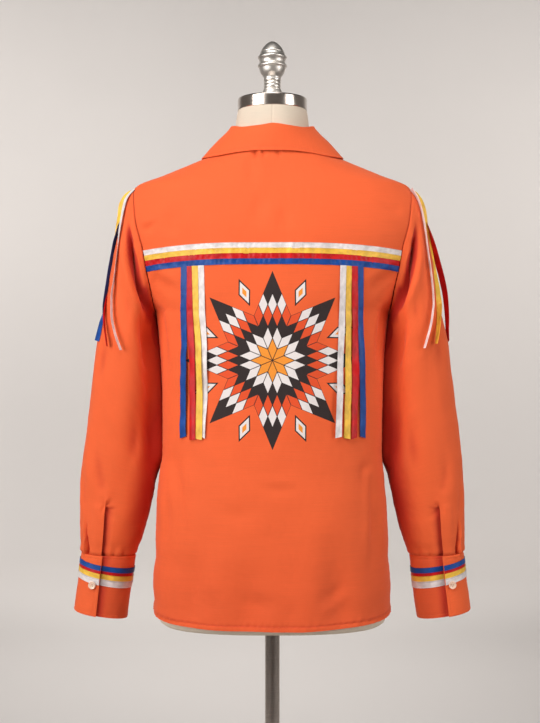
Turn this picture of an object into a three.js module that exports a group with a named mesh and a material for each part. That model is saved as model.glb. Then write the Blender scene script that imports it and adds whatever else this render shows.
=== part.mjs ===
// A long-sleeved ribbon shirt worn by a limbless dress form that stands on a round base.
// Millimetres, +Z up, the floor at z = 0. The wearer faces +Y, so the back of the shirt faces -Y.
import * as THREE from 'three';

// ---- driving sizes ----
const clothWall = 1.6; // back, fronts and sleeves
const collarWall = 1.4;
const cuffWall = 1.8;
const ribbonWall = 1.0;
const seamGap = 0.4; // between two pieces that a seam joins
const hemZ = 799;
const hemSideRise = 6; // how much higher the hem is at the side seams
const hemFadeZ = 860; // rows above this height lie level
const underarm = { x: 174, z: 1250 };
const shoulderPoint = { x: 206, z: 1434 };
const neckPoint = { x: 66, z: 1493 };
const neckDrop = 55; // from the neck point down to the neckline at centre front
const armholeDepth = 60; // half the armhole from back to front
const armholeRound = 2.2;
const frontOverlap = 15; // each front passes the centre by this much
const frontLapRise = 2.2; // how far the lapping front stands off over the other one
const frontLapFoot = { x: -34, width: 16 }; // where that rise starts, and how wide it is
const ribbonWidth = 10;
const bandHalfLength = 188;
const neckCapRadius = 52;
const poleRadius = 11;
const baseRadius = 200;
const formBottomZ = 790;
const neckCapZ = 1551.5;
const capTopZ = 1569.7;
const solidGap = 0.3; // between two hard pieces that rest on each other

const colours = {
  orange: 0xf2703f,
  white: 0xefe2e0,
  yellow: 0xf6c445,
  red: 0xb91f26,
  blue: 0x1f4f9f,
  cream: 0xe9dcc6,
  button: 0xe6c3ae,
  nickel: 0xa5a29b,
  steel: 0x8b8580,
};

// The torso of the shirt, from the hem up: half width at the side seam, depth of the back and
// of the fronts from the centre plane, and how square the section is (2 is an ellipse).
const bodySections = [
  { z: hemZ, width: 178, back: 125, front: 121, square: 2.4 },
  { z: 855, width: 176.5, back: 124, front: 120, square: 2.4 },
  { z: 968, width: 171, back: 119, front: 117, square: 2.35 },
  { z: 1043, width: 164, back: 114, front: 114, square: 2.3 },
  { z: 1120, width: 164.5, back: 112, front: 115, square: 2.25 },
  { z: 1200, width: 168.5, back: 113, front: 117, square: 2.2 },
  { z: underarm.z, width: underarm.x, back: 114, front: 117, square: 2.12 },
  { z: 1342, width: 190, back: 109, front: 109, square: 2.05 },
  { z: shoulderPoint.z, width: shoulderPoint.x, back: 86, front: 82, square: 2.05 },
  { z: 1454, width: 161.5, back: 77, front: 74, square: 2.05 },
  { z: 1474, width: 112.5, back: 70, front: 67, square: 2.05 },
  { z: neckPoint.z, width: neckPoint.x, back: 64, front: 61, square: 2 },
];

// How far out the armhole seam lies, from the underarm up to the shoulder point.
const armholeSeam = [
  { z: underarm.z, x: underarm.x },
  { z: 1283, x: 178 },
  { z: 1306, x: 182.5 },
  { z: 1339, x: 188 },
  { z: 1381, x: 199 },
  { z: shoulderPoint.z, x: shoulderPoint.x },
];

// Rings of the right sleeve from the armhole to the cuff seam: the outer and inner ends of the
// ring in the front view, half its depth, and how far its middle lies forward.
const sleeveRings = [
  {
    outX: shoulderPoint.x,
    outZ: shoulderPoint.z,
    inX: underarm.x,
    inZ: underarm.z,
    depth: armholeDepth,
    forward: 0,
  },
  { outX: 218, outZ: 1417, inX: 176, inZ: 1243, depth: 60.5, forward: 0 },
  { outX: 225, outZ: 1393, inX: 174.6, inZ: 1232, depth: 62, forward: 0 },
  { outX: 233.5, outZ: 1350, inX: 171.4, inZ: 1206, depth: 63, forward: 0 },
  { outX: 242, outZ: 1305, inX: 169, inZ: 1176, depth: 63, forward: 0 },
  { outX: 250, outZ: 1258, inX: 167.2, inZ: 1142, depth: 61, forward: 1 },
  { outX: 261, outZ: 1210, inX: 166.2, inZ: 1108, depth: 58, forward: 2 },
  { outX: 270, outZ: 1140, inX: 166, inZ: 1066, depth: 54, forward: 3 },
  { outX: 278.5, outZ: 1075, inX: 169, inZ: 1022, depth: 50, forward: 4 },
  { outX: 285.5, outZ: 1010, inX: 177.5, inZ: 985, depth: 45, forward: 5 },
  { outX: 288.5, outZ: 955, inX: 187, inZ: 944, depth: 41, forward: 6 },
  { outX: 288.2, outZ: 915, inX: 197, inZ: 908, depth: 37, forward: 7 },
  { outX: 286.2, outZ: 888.5, inX: 207.3, inZ: 884.5, depth: 30.5, forward: 8 },
];
const sleeveEnd = sleeveRings.length - 1;
const sleeveRows = sleeveRings.map((row, at) => ({ at, ...row }));

// The cuff's upper and lower edges, read as the sleeve's rings are.
const cuffRings = [
  { outX: 286.8, outZ: 888, inX: 206.8, inZ: 884, depth: 31, forward: 8 },
  { outX: 298, outZ: 805, inX: 218.5, inZ: 792, depth: 31.5, forward: 9 },
];
const cuffLapTurn = 88; // degrees from the cuff's outer side to its lapping edge
const cuffLap = 28; // degrees that the cuff laps over its own end
const cuffLapRise = 2.6; // how far the lap stands off over one turn

// Wide soft troughs in the back and the fronts: where each runs, its half width and its depth.
const bodyFolds = [
  { face: -1, topX: -112, topZ: 930, bottomX: -118, bottomZ: 770, width: 20, depth: 3.5 },
  { face: -1, topX: -38, topZ: 905, bottomX: -36, bottomZ: 770, width: 22, depth: 3 },
  { face: -1, topX: 84, topZ: 960, bottomX: 100, bottomZ: 770, width: 24, depth: 4 },
  { face: -1, topX: -150, topZ: 1040, bottomX: -136, bottomZ: 960, width: 18, depth: 2.5 },
  { face: -1, topX: -142, topZ: 1400, bottomX: -148, bottomZ: 1350, width: 18, depth: 2.5 },
  { face: -1, topX: -24, topZ: 1405, bottomX: -22, bottomZ: 1350, width: 20, depth: 2 },
  { face: 1, topX: -96, topZ: 940, bottomX: -104, bottomZ: 770, width: 22, depth: 4 },
  { face: 1, topX: 62, topZ: 960, bottomX: 70, bottomZ: 770, width: 24, depth: 3.5 },
  { face: 1, topX: 128, topZ: 900, bottomX: 132, bottomZ: 770, width: 18, depth: 3 },
];

// Troughs in the sleeves, by ring and by degrees round the ring from its outer end to the back.
const sleeveFolds = [
  { ring: 1.1, turn: 52, viaRing: 1.3, viaTurn: 84, endRing: 1, endTurn: 150, width: 11, depth: 5.5 },
  { ring: 1.2, turn: -58, viaRing: 1.4, viaTurn: -92, endRing: 1.1, endTurn: -150, width: 11, depth: 4.5 },
  { ring: 3.1, turn: 92, viaRing: 3.6, viaTurn: 94, endRing: 4.3, endTurn: 97, width: 11, depth: 2 },
  { ring: 5.4, turn: 58, viaRing: 6.2, viaTurn: 63, endRing: 7.4, endTurn: 69, width: 14, depth: 2.2 },
  { ring: 5.6, turn: -66, viaRing: 6.4, viaTurn: -70, endRing: 7.6, endTurn: -80, width: 14, depth: 2.2 },
  { ring: 10.3, turn: 49, viaRing: 11, viaTurn: 48, endRing: 12.3, endTurn: 46, width: 6, depth: 2.5 },
];

// The folded collar by degrees from centre back: how high the fold stands over the neck seam,
// how far it leans out, where the free edge lies round the torso, its height, and its stand-off.
const collarSections = [
  { turn: 0, rise: 27.5, lean: -1, around: 0, edgeZ: 1478.5, lift: 5 },
  { turn: 45, rise: 25.5, lean: -2.5, around: 46, edgeZ: 1473, lift: 4 },
  { turn: 72, rise: 31, lean: -3.5, around: 70, edgeZ: 1471.5, lift: 3 },
  { turn: 90, rise: 34, lean: -4, around: 90, edgeZ: 1474, lift: 3 },
  { turn: 110, rise: 32, lean: -4, around: 108, edgeZ: 1462, lift: 3.2 },
  { turn: 135, rise: 28, lean: -1, around: 126, edgeZ: 1424, lift: 4.5 },
  { turn: 160, rise: 23, lean: 1, around: 140, edgeZ: 1392, lift: 5 },
  { turn: 175, rise: 21, lean: 2, around: 153, edgeZ: 1378, lift: 5 },
];

// Ribbons across the back, from the top down.
const bandRibbons = ['white', 'yellow', 'red', 'blue'];
const bandTopZ = 1344.5;
const bandPitch = 7.6;
const bandStripWidth = 7.2; // what a neighbour's edge leaves in sight of each ribbon
const bandEndDrop = 7.5;

// Ribbons that hang from the band: across the back at the top and at the bottom, and the end.
const streamers = [
  { name: 'left_blue', topX: -125.6, bottomX: -125.9, bottomZ: 1068, colour: 'blue' },
  { name: 'left_red', topX: -117.3, bottomX: -112.6, bottomZ: 1065, colour: 'red' },
  { name: 'left_yellow', topX: -109, bottomX: -103.8, bottomZ: 1065, colour: 'yellow' },
  { name: 'left_white', topX: -100.7, bottomX: -95.4, bottomZ: 1069, colour: 'white' },
  { name: 'right_white', topX: 99.6, bottomX: 91.8, bottomZ: 1069, colour: 'white' },
  { name: 'right_yellow', topX: 107.9, bottomX: 105, bottomZ: 1067, colour: 'yellow' },
  { name: 'right_red', topX: 116.4, bottomX: 115.4, bottomZ: 1067, colour: 'red' },
  { name: 'right_blue', topX: 125, bottomX: 128.1, bottomZ: 1068, colour: 'blue' },
];

// Ribbons round the cuff: how far below the cuff seam each starts, its width and its layer.
const cuffRibbons = [
  { colour: 'blue', start: 13, width: 7.4, layer: 1 },
  { colour: 'red', start: 18.6, width: 8, layer: 0 },
  { colour: 'yellow', start: 25, width: 7, layer: 1 },
  { colour: 'white', start: 32.3, width: 7.4, layer: 1 },
];
const cuffRibbonTilt = 4; // higher on the outer side by this much, and lower on the inner

// Ribbons that hang from a shoulder point, side 1 the right one: degrees round the sleeve at the
// top, high up, low down and at the end, the least stand-off, how far it bows, and its end ring.
const shoulderRibbons = [
  { side: -1, colour: 'blue', top: 20, high: 22, low: 9, end: 14, lift: 1.8, bow: 1, endRing: 6 },
  { side: -1, colour: 'red', top: 12, high: 14, low: 18, end: 56, lift: 4, bow: 1.2, endRing: 5.8 },
  { side: -1, colour: 'white', top: 26, high: 38, low: 42, end: 78, lift: 5.6, bow: -3, endRing: 5.4 },
  { side: -1, colour: 'yellow', top: 6, high: 14, low: -20, end: -28, lift: 8.4, bow: -1, endRing: 5.5 },
  { side: 1, colour: 'white', top: 22, high: 40, low: 44, end: 80, lift: 2.2, bow: 1, endRing: 5.4 },
  { side: 1, colour: 'yellow', top: 8, high: 15, low: 20, end: 60, lift: 3.6, bow: 1, endRing: 5.7 },
  { side: 1, colour: 'red', top: 2, high: 6, low: 8, end: 24, lift: 5.6, bow: 6, endRing: 6 },
  { side: 1, colour: 'blue', top: -8, high: -14, low: -18, end: -22, lift: 7.6, bow: -4, endRing: 5.5 },
];

// The dress form, from its bottom to the top of its neck.
const formSections = [
  { z: formBottomZ, width: 162, back: 106, front: 102, square: 2.6 },
  { z: 794, width: 167, back: 111, front: 107, square: 2.6 },
  { z: 802, width: 168.5, back: 113, front: 109, square: 2.6 },
  { z: 860, width: 166, back: 112, front: 108, square: 2.5 },
  { z: 968, width: 160, back: 107, front: 105, square: 2.35 },
  { z: 1043, width: 152, back: 101, front: 101, square: 2.25 },
  { z: 1120, width: 153, back: 100, front: 103, square: 2.2 },
  { z: 1200, width: 158, back: 101, front: 105, square: 2.15 },
  { z: 1250, width: 163, back: 101, front: 104, square: 2.1 },
  { z: 1320, width: 173, back: 97, front: 98, square: 2.1 },
  { z: 1380, width: 183, back: 86, front: 84, square: 2.1 },
  { z: 1412, width: 185, back: 77, front: 74, square: 2.05 },
  { z: 1430, width: 178, back: 71, front: 68, square: 2 },
  { z: 1446, width: 155, back: 66, front: 63, square: 2 },
  { z: 1462, width: 118, back: 62, front: 60, square: 2 },
  { z: 1476, width: 84, back: 59, front: 58, square: 2 },
  { z: 1488, width: 63, back: 57.5, front: 57.5, square: 2 },
  { z: 1504, width: 56.5, back: 56.5, front: 56.5, square: 2 },
  { z: 1532, width: 54.8, back: 54.8, front: 54.8, square: 2 },
  { z: 1544, width: 53.3, back: 53.3, front: 53.3, square: 2 },
  { z: neckCapZ - solidGap, width: 51.8, back: 51.8, front: 51.8, square: 2 },
];

// ---- curves through the tables ----

// Value of one column of a table at a place between its rows, smooth and without overshoot.
function column(table, key, name, at) {
  const last = table.length - 1;
  if (at <= table[0][key]) return table[0][name];
  if (at >= table[last][key]) return table[last][name];
  let i = 0;
  while (at > table[i + 1][key]) i += 1;
  const step = (k) => table[k + 1][key] - table[k][key];
  const slope = (k) => (table[k + 1][name] - table[k][name]) / step(k);
  const tangent = (k) => {
    if (k === 0) return slope(0);
    if (k === last) return slope(last - 1);
    const before = slope(k - 1);
    const after = slope(k);
    if (before * after <= 0) return 0;
    const a = 2 * step(k) + step(k - 1);
    const b = step(k) + 2 * step(k - 1);
    return (a + b) / (a / before + b / after);
  };
  const h = step(i);
  const t = (at - table[i][key]) / h;
  const u = 1 - t;
  return (
    table[i][name] * (1 + 2 * t) * u * u +
    tangent(i) * h * t * u * u +
    table[i + 1][name] * (3 - 2 * t) * t * t -
    tangent(i + 1) * h * u * t * t
  );
}

const degrees = Math.PI / 180;
const mix = (a, b, t) => a + (b - a) * t;
const smooth = (t) => {
  const c = Math.min(1, Math.max(0, t));
  return c * c * (3 - 2 * c);
};

function steps(from, to, count) {
  return Array.from({ length: count + 1 }, (_, i) => mix(from, to, i / count));
}

// ---- the torso surface ----

// Depth of the armhole seam from the centre plane at a height.
function armholeY(z) {
  const middle = (underarm.z + shoulderPoint.z) / 2;
  const reach = Math.abs(z - middle) / ((shoulderPoint.z - underarm.z) / 2);
  if (reach >= 1) return 0;
  return armholeDepth * (1 - reach ** armholeRound) ** (1 / armholeRound);
}

// The torso's section at a height, with face -1 for the back and 1 for the fronts. Beside the
// armhole its width is the one that takes it through the armhole seam.
function bodySection(face, z) {
  const depth = column(bodySections, 'z', face < 0 ? 'back' : 'front', z);
  const square = column(bodySections, 'z', 'square', z);
  let width = column(bodySections, 'z', 'width', z);
  if (z > underarm.z && z < shoulderPoint.z) {
    width = column(armholeSeam, 'z', 'x', z) / (1 - (armholeY(z) / depth) ** square) ** (1 / square);
  }
  return { depth, square, width };
}

// A point by its height and its turn in radians from the +X side to the centre and on to -X.
function bodyPoint(face, z, turn) {
  const { depth, square, width } = bodySection(face, z);
  const across = Math.abs(Math.cos(turn) / width) ** square;
  const along = Math.abs(Math.sin(turn) / depth) ** square;
  const radius = (across + along) ** (-1 / square);
  return new THREE.Vector3(radius * Math.cos(turn), face * radius * Math.sin(turn), z);
}

// The turn at which the torso's section passes a distance from the centre.
function turnAtX(face, z, x) {
  const { depth, square, width } = bodySection(face, z);
  const reach = Math.min(1, Math.abs(x) / width);
  const y = depth * (1 - reach ** square) ** (1 / square);
  return Math.atan2(y, x);
}

// The turn at which a panel ends: at the side seam, the shoulder seam or the armhole.
function turnAtEdge(z) {
  const depth = armholeY(z);
  if (depth > seamGap) return Math.atan2(depth, column(armholeSeam, 'z', 'x', z));
  return seamGap / 2 / column(bodySections, 'z', 'width', z);
}

// The hem rises a little towards the side seams; rows above it are moved less and less.
function hemRise(z, turn) {
  return hemSideRise * Math.abs(Math.cos(turn)) ** 4 * smooth((hemFadeZ - z) / (hemFadeZ - hemZ));
}

function surfaceNormal(point, alongA, alongB, outwards) {
  const normal = new THREE.Vector3().crossVectors(alongA.sub(point), alongB.sub(point)).normalize();
  return normal.dot(outwards) < 0 ? normal.negate() : normal;
}

function bodyNormal(face, z, turn) {
  const point = bodyPoint(face, z, turn);
  const outwards = new THREE.Vector3(point.x, point.y, 0);
  return surfaceNormal(point, bodyPoint(face, z - 0.5, turn), bodyPoint(face, z, turn + 0.002), outwards);
}

// A trough's path as points on a surface, with its half width and depth.
function foldPath(row, pointAt) {
  return { points: steps(0, 1, 8).map(pointAt), width: row.width, depth: row.depth };
}

// How deep a point lies in the troughs that pass near it.
function foldDepth(paths, point) {
  let depth = 0;
  for (const path of paths) {
    let nearest = Infinity;
    let along = 0;
    path.points.slice(1).forEach((end, i) => {
      const line = new THREE.Line3(path.points[i], end);
      const t = line.closestPointToPointParameter(point, true);
      const distance = line.at(t, new THREE.Vector3()).distanceTo(point);
      if (distance < nearest) {
        nearest = distance;
        along = (i + t) / (path.points.length - 1);
      }
    });
    const fade = smooth(along * 3 + 0.4) * smooth((1 - along) * 3 + 0.4);
    depth += path.depth * fade * Math.exp(-((nearest / path.width) ** 2));
  }
  return depth;
}

const bodyFoldPaths = { '-1': [], 1: [] };
for (const row of bodyFolds) {
  const pointAt = (t) => {
    const z = mix(row.topZ, row.bottomZ, t);
    return bodyPoint(row.face, z, turnAtX(row.face, z, mix(row.topX, row.bottomX, t)));
  };
  bodyFoldPaths[row.face].push(foldPath(row, pointAt));
}

// A point of the torso moved out along the surface's normal; troughs end at the panel's sides.
function onBody(face, z, turn, lift) {
  const point = bodyPoint(face, z, turn);
  const inPanel = smooth((underarm.x - Math.abs(point.x)) / 20);
  const fold = inPanel * foldDepth(bodyFoldPaths[face], point);
  return point.addScaledVector(bodyNormal(face, z, turn), lift - fold);
}

// ---- the sleeve and cuff surfaces, for the right side ----

function ringPoint(ring, turn) {
  const c = Math.cos(turn);
  const s = Math.sign(Math.sin(turn)) * (1 - Math.abs(c) ** armholeRound) ** (1 / armholeRound);
  return new THREE.Vector3(
    mix(ring.inX, ring.outX, (1 + c) / 2),
    ring.forward - ring.depth * s,
    mix(ring.inZ, ring.outZ, (1 + c) / 2),
  );
}

function sleevePoint(at, turn) {
  const ring = { ...sleeveRings[0] };
  for (const name of Object.keys(ring)) ring[name] = column(sleeveRows, 'at', name, at);
  const point = ringPoint(ring, turn);
  const seamZ = mix(underarm.z, shoulderPoint.z, (1 + Math.cos(turn)) / 2);
  const seamX = mix(underarm.x, shoulderPoint.x, (1 + Math.cos(turn)) / 2);
  point.x += seamGap + (column(armholeSeam, 'z', 'x', seamZ) - seamX) * smooth(1 - at / 4);
  return point;
}

function sleeveNormal(at, turn) {
  const point = sleevePoint(at, turn);
  const middle = sleevePoint(at, turn + Math.PI).add(point).multiplyScalar(0.5);
  const outwards = new THREE.Vector3().subVectors(point, middle);
  const ahead = at < sleeveEnd - 0.02 ? at + 0.01 : at - 0.01;
  const normal = surfaceNormal(point, sleevePoint(ahead, turn), sleevePoint(at, turn + 0.01), outwards);
  if (at >= 1) return normal;
  // Next to the armhole the wall is mitred to the panels' walls.
  const face = Math.sin(turn) >= 0 ? -1 : 1;
  const seamZ = mix(underarm.z, shoulderPoint.z, (1 + Math.cos(turn)) / 2);
  const panel = bodyNormal(face, seamZ, turnAtEdge(seamZ));
  return normal.lerp(panel, ((1 + Math.cos(turn)) / 2) * (1 - at)).normalize();
}

const sleeveFoldPaths = sleeveFolds.map((row) => {
  const places = [
    { t: 0, ring: row.ring, turn: row.turn },
    { t: 0.5, ring: row.viaRing, turn: row.viaTurn },
    { t: 1, ring: row.endRing, turn: row.endTurn },
  ];
  const pointAt = (t) => sleevePoint(column(places, 't', 'ring', t), column(places, 't', 'turn', t) * degrees);
  return foldPath(row, pointAt);
});

function onSleeve(at, turn, lift) {
  const point = sleevePoint(at, turn);
  const fold = foldDepth(sleeveFoldPaths, point);
  return point.addScaledVector(sleeveNormal(at, turn), lift - fold);
}

// The cuff is a strip wound once round the wrist: wound is 0 at the lapping edge.
const cuffTurnAt = (wound) => (cuffLapTurn - wound) * degrees;

function cuffPoint(down, wound) {
  const ring = {};
  for (const name of Object.keys(cuffRings[0])) ring[name] = mix(cuffRings[0][name], cuffRings[1][name], down);
  return ringPoint(ring, cuffTurnAt(wound));
}

function onCuff(down, wound, lift) {
  const point = cuffPoint(down, wound);
  const middle = cuffPoint(down, wound + 180).add(point).multiplyScalar(0.5);
  const outwards = new THREE.Vector3().subVectors(point, middle);
  const normal = surfaceNormal(point, cuffPoint(down + 0.01, wound), cuffPoint(down, wound + 0.5), outwards);
  return point.addScaledVector(normal, lift + cuffLapRise * (1 - wound / (360 + cuffLap)));
}

// ---- closed geometry from grids of points ----

// A wall between two grids of points; wraps closes each row on itself.
function wallGeometry(outer, inner, wraps = false) {
  const rows = outer.length;
  const columns = outer[0].length;
  const outerAt = (i, j) => i * columns + (j % columns);
  const innerAt = (i, j) => rows * columns + outerAt(i, j);
  const lastRow = rows - 1;
  const lastColumn = wraps ? columns : columns - 1;
  const quads = [];
  for (let j = 0; j < lastColumn; j += 1) {
    for (let i = 0; i < lastRow; i += 1) {
      quads.push([outerAt(i, j), outerAt(i, j + 1), outerAt(i + 1, j + 1), outerAt(i + 1, j)]);
      quads.push([innerAt(i, j), innerAt(i + 1, j), innerAt(i + 1, j + 1), innerAt(i, j + 1)]);
    }
    quads.push([outerAt(0, j), innerAt(0, j), innerAt(0, j + 1), outerAt(0, j + 1)]);
    quads.push([outerAt(lastRow, j), outerAt(lastRow, j + 1), innerAt(lastRow, j + 1), innerAt(lastRow, j)]);
  }
  for (let i = 0; i < lastRow && !wraps; i += 1) {
    quads.push([outerAt(i, 0), outerAt(i + 1, 0), innerAt(i + 1, 0), innerAt(i, 0)]);
    const end = [outerAt(i, lastColumn), outerAt(i + 1, lastColumn)];
    quads.push([end[0], innerAt(i, lastColumn), innerAt(i + 1, lastColumn), end[1]]);
  }
  return closedGeometry([...outer.flat(), ...inner.flat()], quads);
}

// A solid body through rings of points, with a fan over each end.
function loftGeometry(rings) {
  const columns = rings[0].length;
  const at = (i, j) => i * columns + (j % columns);
  const points = rings.flat();
  const faces = [];
  for (let j = 0; j < columns; j += 1) {
    for (let i = 0; i < rings.length - 1; i += 1) {
      faces.push([at(i, j), at(i, j + 1), at(i + 1, j + 1), at(i + 1, j)]);
    }
  }
  for (const end of [0, rings.length - 1]) {
    const centre = new THREE.Vector3();
    for (const point of rings[end]) centre.addScaledVector(point, 1 / columns);
    points.push(centre);
    for (let j = 0; j < columns; j += 1) {
      const edge = [at(end, j), at(end, j + 1)];
      faces.push(end === 0 ? [points.length - 1, edge[1], edge[0]] : [points.length - 1, ...edge]);
    }
  }
  return closedGeometry(points, faces);
}

// Triangles from points and faces of three or four corners, turned to face outwards.
function closedGeometry(points, faces) {
  const triangles = faces.flatMap((f) => (f.length === 4 ? [[f[0], f[1], f[2]], [f[0], f[2], f[3]]] : [f]));
  let volume = 0;
  for (const [a, b, c] of triangles) {
    volume += points[a].dot(new THREE.Vector3().crossVectors(points[b], points[c]));
  }
  const index = triangles.flatMap(([a, b, c]) => (volume > 0 ? [a, b, c] : [a, c, b]));
  const geometry = new THREE.BufferGeometry().setFromPoints(points);
  geometry.setIndex(index);
  geometry.computeVertexNormals();
  return geometry;
}

const mirrored = (grid) => grid.map((row) => row.map((p) => new THREE.Vector3(-p.x, p.y, p.z)));

const shirt = new THREE.Group();
const stand = new THREE.Group();

function addMesh(group, name, geometry, colour, roughness, metalness = 0) {
  const material = new THREE.MeshStandardMaterial({ color: colours[colour], roughness, metalness });
  const mesh = new THREE.Mesh(geometry, material);
  mesh.name = name;
  group.add(mesh);
  return mesh;
}

// ---- back and fronts ----

const sideRows = [hemZ, 830, 880, 930, 985, 1043, 1095, 1150, 1200, underarm.z];
const armholeRows = [1262, 1290, 1325, 1360, 1395, 1416, 1428, shoulderPoint.z];

function makeBack() {
  const columns = 18;
  const shoulderRows = [1444, 1456, 1468, 1480, neckPoint.z];
  const grid = (lift) =>
    [...sideRows, ...armholeRows, ...shoulderRows].map((z) => {
      const edge = turnAtEdge(z);
      const turns = steps(edge, Math.PI - edge, columns);
      return turns.map((turn) => onBody(-1, z + hemRise(z, turn), turn, lift));
    });
  addMesh(shirt, 'back', wallGeometry(grid(0), grid(-clothWall)), 'orange', 0.85);
}

// Half the width of the neck opening at the front, at a height.
function necklineX(z) {
  return neckPoint.x * Math.sqrt(Math.max(0, 1 - (neckPoint.z - z) / neckDrop));
}

// The wearer's left front (side -1) laps over the right one, so it rises towards the centre.
function makeFront(name, side, lapRise) {
  const lapColumns = [frontOverlap, 0, frontLapFoot.x + frontLapFoot.width, frontLapFoot.x];
  const columnsBeyond = 7;
  const neckRows = [neckPoint.z - neckDrop, 1439.2, 1444, 1452, 1462, 1473, 1483, neckPoint.z];
  const rows = [...sideRows, ...armholeRows, ...neckRows];
  const turnsAt = (z) => {
    const opening = z > neckPoint.z - neckDrop ? -necklineX(z) : frontOverlap;
    const xs = lapColumns.map((x, i) => Math.min(x, opening - i * 3));
    const turns = xs.map((x) => turnAtX(1, z, x));
    const first = turns[turns.length - 1];
    const last = Math.PI - turnAtEdge(z);
    for (let i = 1; i <= columnsBeyond; i += 1) turns.push(mix(first, last, i / columnsBeyond));
    return turns;
  };
  const grid = (lift) =>
    rows.map((z) =>
      turnsAt(z).map((turn) => {
        const x = bodyPoint(1, z, turn).x;
        const rise = lapRise * smooth((x - frontLapFoot.x) / frontLapFoot.width);
        return onBody(1, z + hemRise(z, turn), side < 0 ? turn : Math.PI - turn, lift + rise);
      }),
    );
  addMesh(shirt, name, wallGeometry(grid(0), grid(-clothWall)), 'orange', 0.85);
}

// ---- collar ----

// Where the neck seam passes, by radians from centre back.
function neckSeamPoint(turn) {
  const x = neckPoint.x * Math.sin(turn);
  const ahead = Math.abs(turn) > Math.PI / 2;
  const z = ahead ? neckPoint.z - neckDrop * Math.cos(turn) ** 2 : neckPoint.z;
  const face = ahead ? 1 : -1;
  return bodyPoint(face, z, turnAtX(face, z, x));
}

// Section of the collar: up the stand, round the fold and down the leaf, with its thickness.
function collarSection(turn) {
  const value = (name) => column(collarSections, 'turn', name, Math.abs(turn) / degrees);
  const seam = neckSeamPoint(turn);
  const inwards = new THREE.Vector3(-seam.x, -seam.y, 0).normalize();
  seam.addScaledVector(inwards, collarWall).add(new THREE.Vector3(0, 0, 3 * seamGap));
  const around = value('around');
  const fromSide = Math.abs(90 - around) * degrees;
  const face = around > 90 ? 1 : -1;
  const edge = onBody(face, value('edgeZ'), turn > 0 ? fromSide : Math.PI - fromSide, value('lift'));
  const out = new THREE.Vector3(edge.x - seam.x, edge.y - seam.y, 0);
  const reach = out.length();
  out.normalize();
  const drop = edge.z - seam.z;
  const rise = value('rise');
  const lean = value('lean');
  const bend = 2.2;
  const line = [
    [0, 0],
    [lean * 0.5, rise * 0.5],
    [lean - bend, rise - bend * 1.2],
    [lean - bend * 0.5, rise - bend * 0.2],
    [lean + bend * 0.6, rise - bend * 0.2],
    [lean + bend * 1.4, rise - bend * 1.4],
    [mix(lean + bend, reach, 0.5) + 0.5, mix(rise, drop, 0.5)],
    [reach, drop],
  ];
  const left = [];
  const right = [];
  line.forEach((point, i) => {
    const before = line[Math.max(0, i - 1)];
    const after = line[Math.min(line.length - 1, i + 1)];
    const along = new THREE.Vector2(after[0] - before[0], after[1] - before[1]).normalize();
    const shift = collarWall / 2;
    left.push([point[0] - along.y * shift, point[1] + along.x * shift]);
    right.push([point[0] + along.y * shift, point[1] - along.x * shift]);
  });
  const place = ([r, h]) => seam.clone().addScaledVector(out, r).add(new THREE.Vector3(0, 0, h));
  return [left.map(place), right.map(place)];
}

function makeCollar() {
  const endTurn = 175 * degrees;
  const sections = steps(-endTurn, endTurn, 26).map(collarSection);
  const geometry = wallGeometry(sections.map((s) => s[0]), sections.map((s) => s[1]));
  addMesh(shirt, 'collar', geometry, 'orange', 0.85);
}

// ---- sleeves and cuffs ----

function makeSleeves() {
  const columns = 18;
  const places = [0, 0.5, 1.2, 2.2, 3.2, 4.2, 5.2, 6.2, 7.2, 8.2, 9.2, 10.2, 11.2, sleeveEnd];
  const grid = (lift) =>
    places.map((at) => steps(0, 2 * Math.PI, columns).slice(0, -1).map((turn) => onSleeve(at, turn, lift)));
  const outer = grid(0);
  const inner = grid(-clothWall);
  addMesh(shirt, 'sleeve_right', wallGeometry(outer, inner, true), 'orange', 0.85);
  addMesh(shirt, 'sleeve_left', wallGeometry(mirrored(outer), mirrored(inner), true), 'orange', 0.85);
}

const cuffWound = [...steps(0, 360, 18), 360 + cuffLap];

function makeCuffs() {
  const grid = (lift) => [0, 0.5, 1].map((down) => cuffWound.map((wound) => onCuff(down, wound, lift)));
  const outer = grid(0);
  const inner = grid(-cuffWall);
  addMesh(shirt, 'cuff_right', wallGeometry(outer, inner), 'orange', 0.85);
  addMesh(shirt, 'cuff_left', wallGeometry(mirrored(outer), mirrored(inner)), 'orange', 0.85);
}

// ---- ribbons ----

const ribbonGap = 0.8; // between a ribbon and the panel that it is sewn to

function makeBand() {
  bandRibbons.forEach((colour, i) => {
    const grid = (lift) =>
      [0, bandStripWidth].map((down) =>
        steps(-bandHalfLength, bandHalfLength, 24).map((x) => {
          const drop = bandEndDrop * Math.abs(x / bandHalfLength) ** 3;
          const z = bandTopZ - i * bandPitch - down - drop;
          const reach = Math.min(Math.abs(x), column(armholeSeam, 'z', 'x', z) - 1) * Math.sign(x);
          return onBody(-1, z, turnAtX(-1, z, reach), lift);
        }),
      );
    const geometry = wallGeometry(grid(ribbonGap + ribbonWall), grid(ribbonGap));
    addMesh(shirt, `band_${colour}`, geometry, colour, 0.35);
  });
}

// Streamers hang from the band and stand a little further off the back as they go down.
function makeStreamers() {
  const topZ = bandTopZ - bandRibbons.length * bandPitch - seamGap;
  const width = 8; // what a neighbour's edge leaves in sight of each ribbon
  const standOff = 3;
  for (const row of streamers) {
    const grid = (lift) =>
      steps(0, 1, 8).map((t) =>
        [-0.5, 0.5].map((across) => {
          const drop = bandEndDrop * Math.abs(row.topX / bandHalfLength) ** 3;
          const z = mix(topZ - drop, row.bottomZ, t);
          const x = mix(row.topX, row.bottomX, t) + across * width;
          return onBody(-1, z, turnAtX(-1, z, x), lift + standOff * smooth(t * 1.5));
        }),
      );
    const geometry = wallGeometry(grid(ribbonGap + ribbonWall), grid(ribbonGap));
    addMesh(shirt, `streamer_${row.name}`, geometry, row.colour, 0.35);
  }
}

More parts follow.
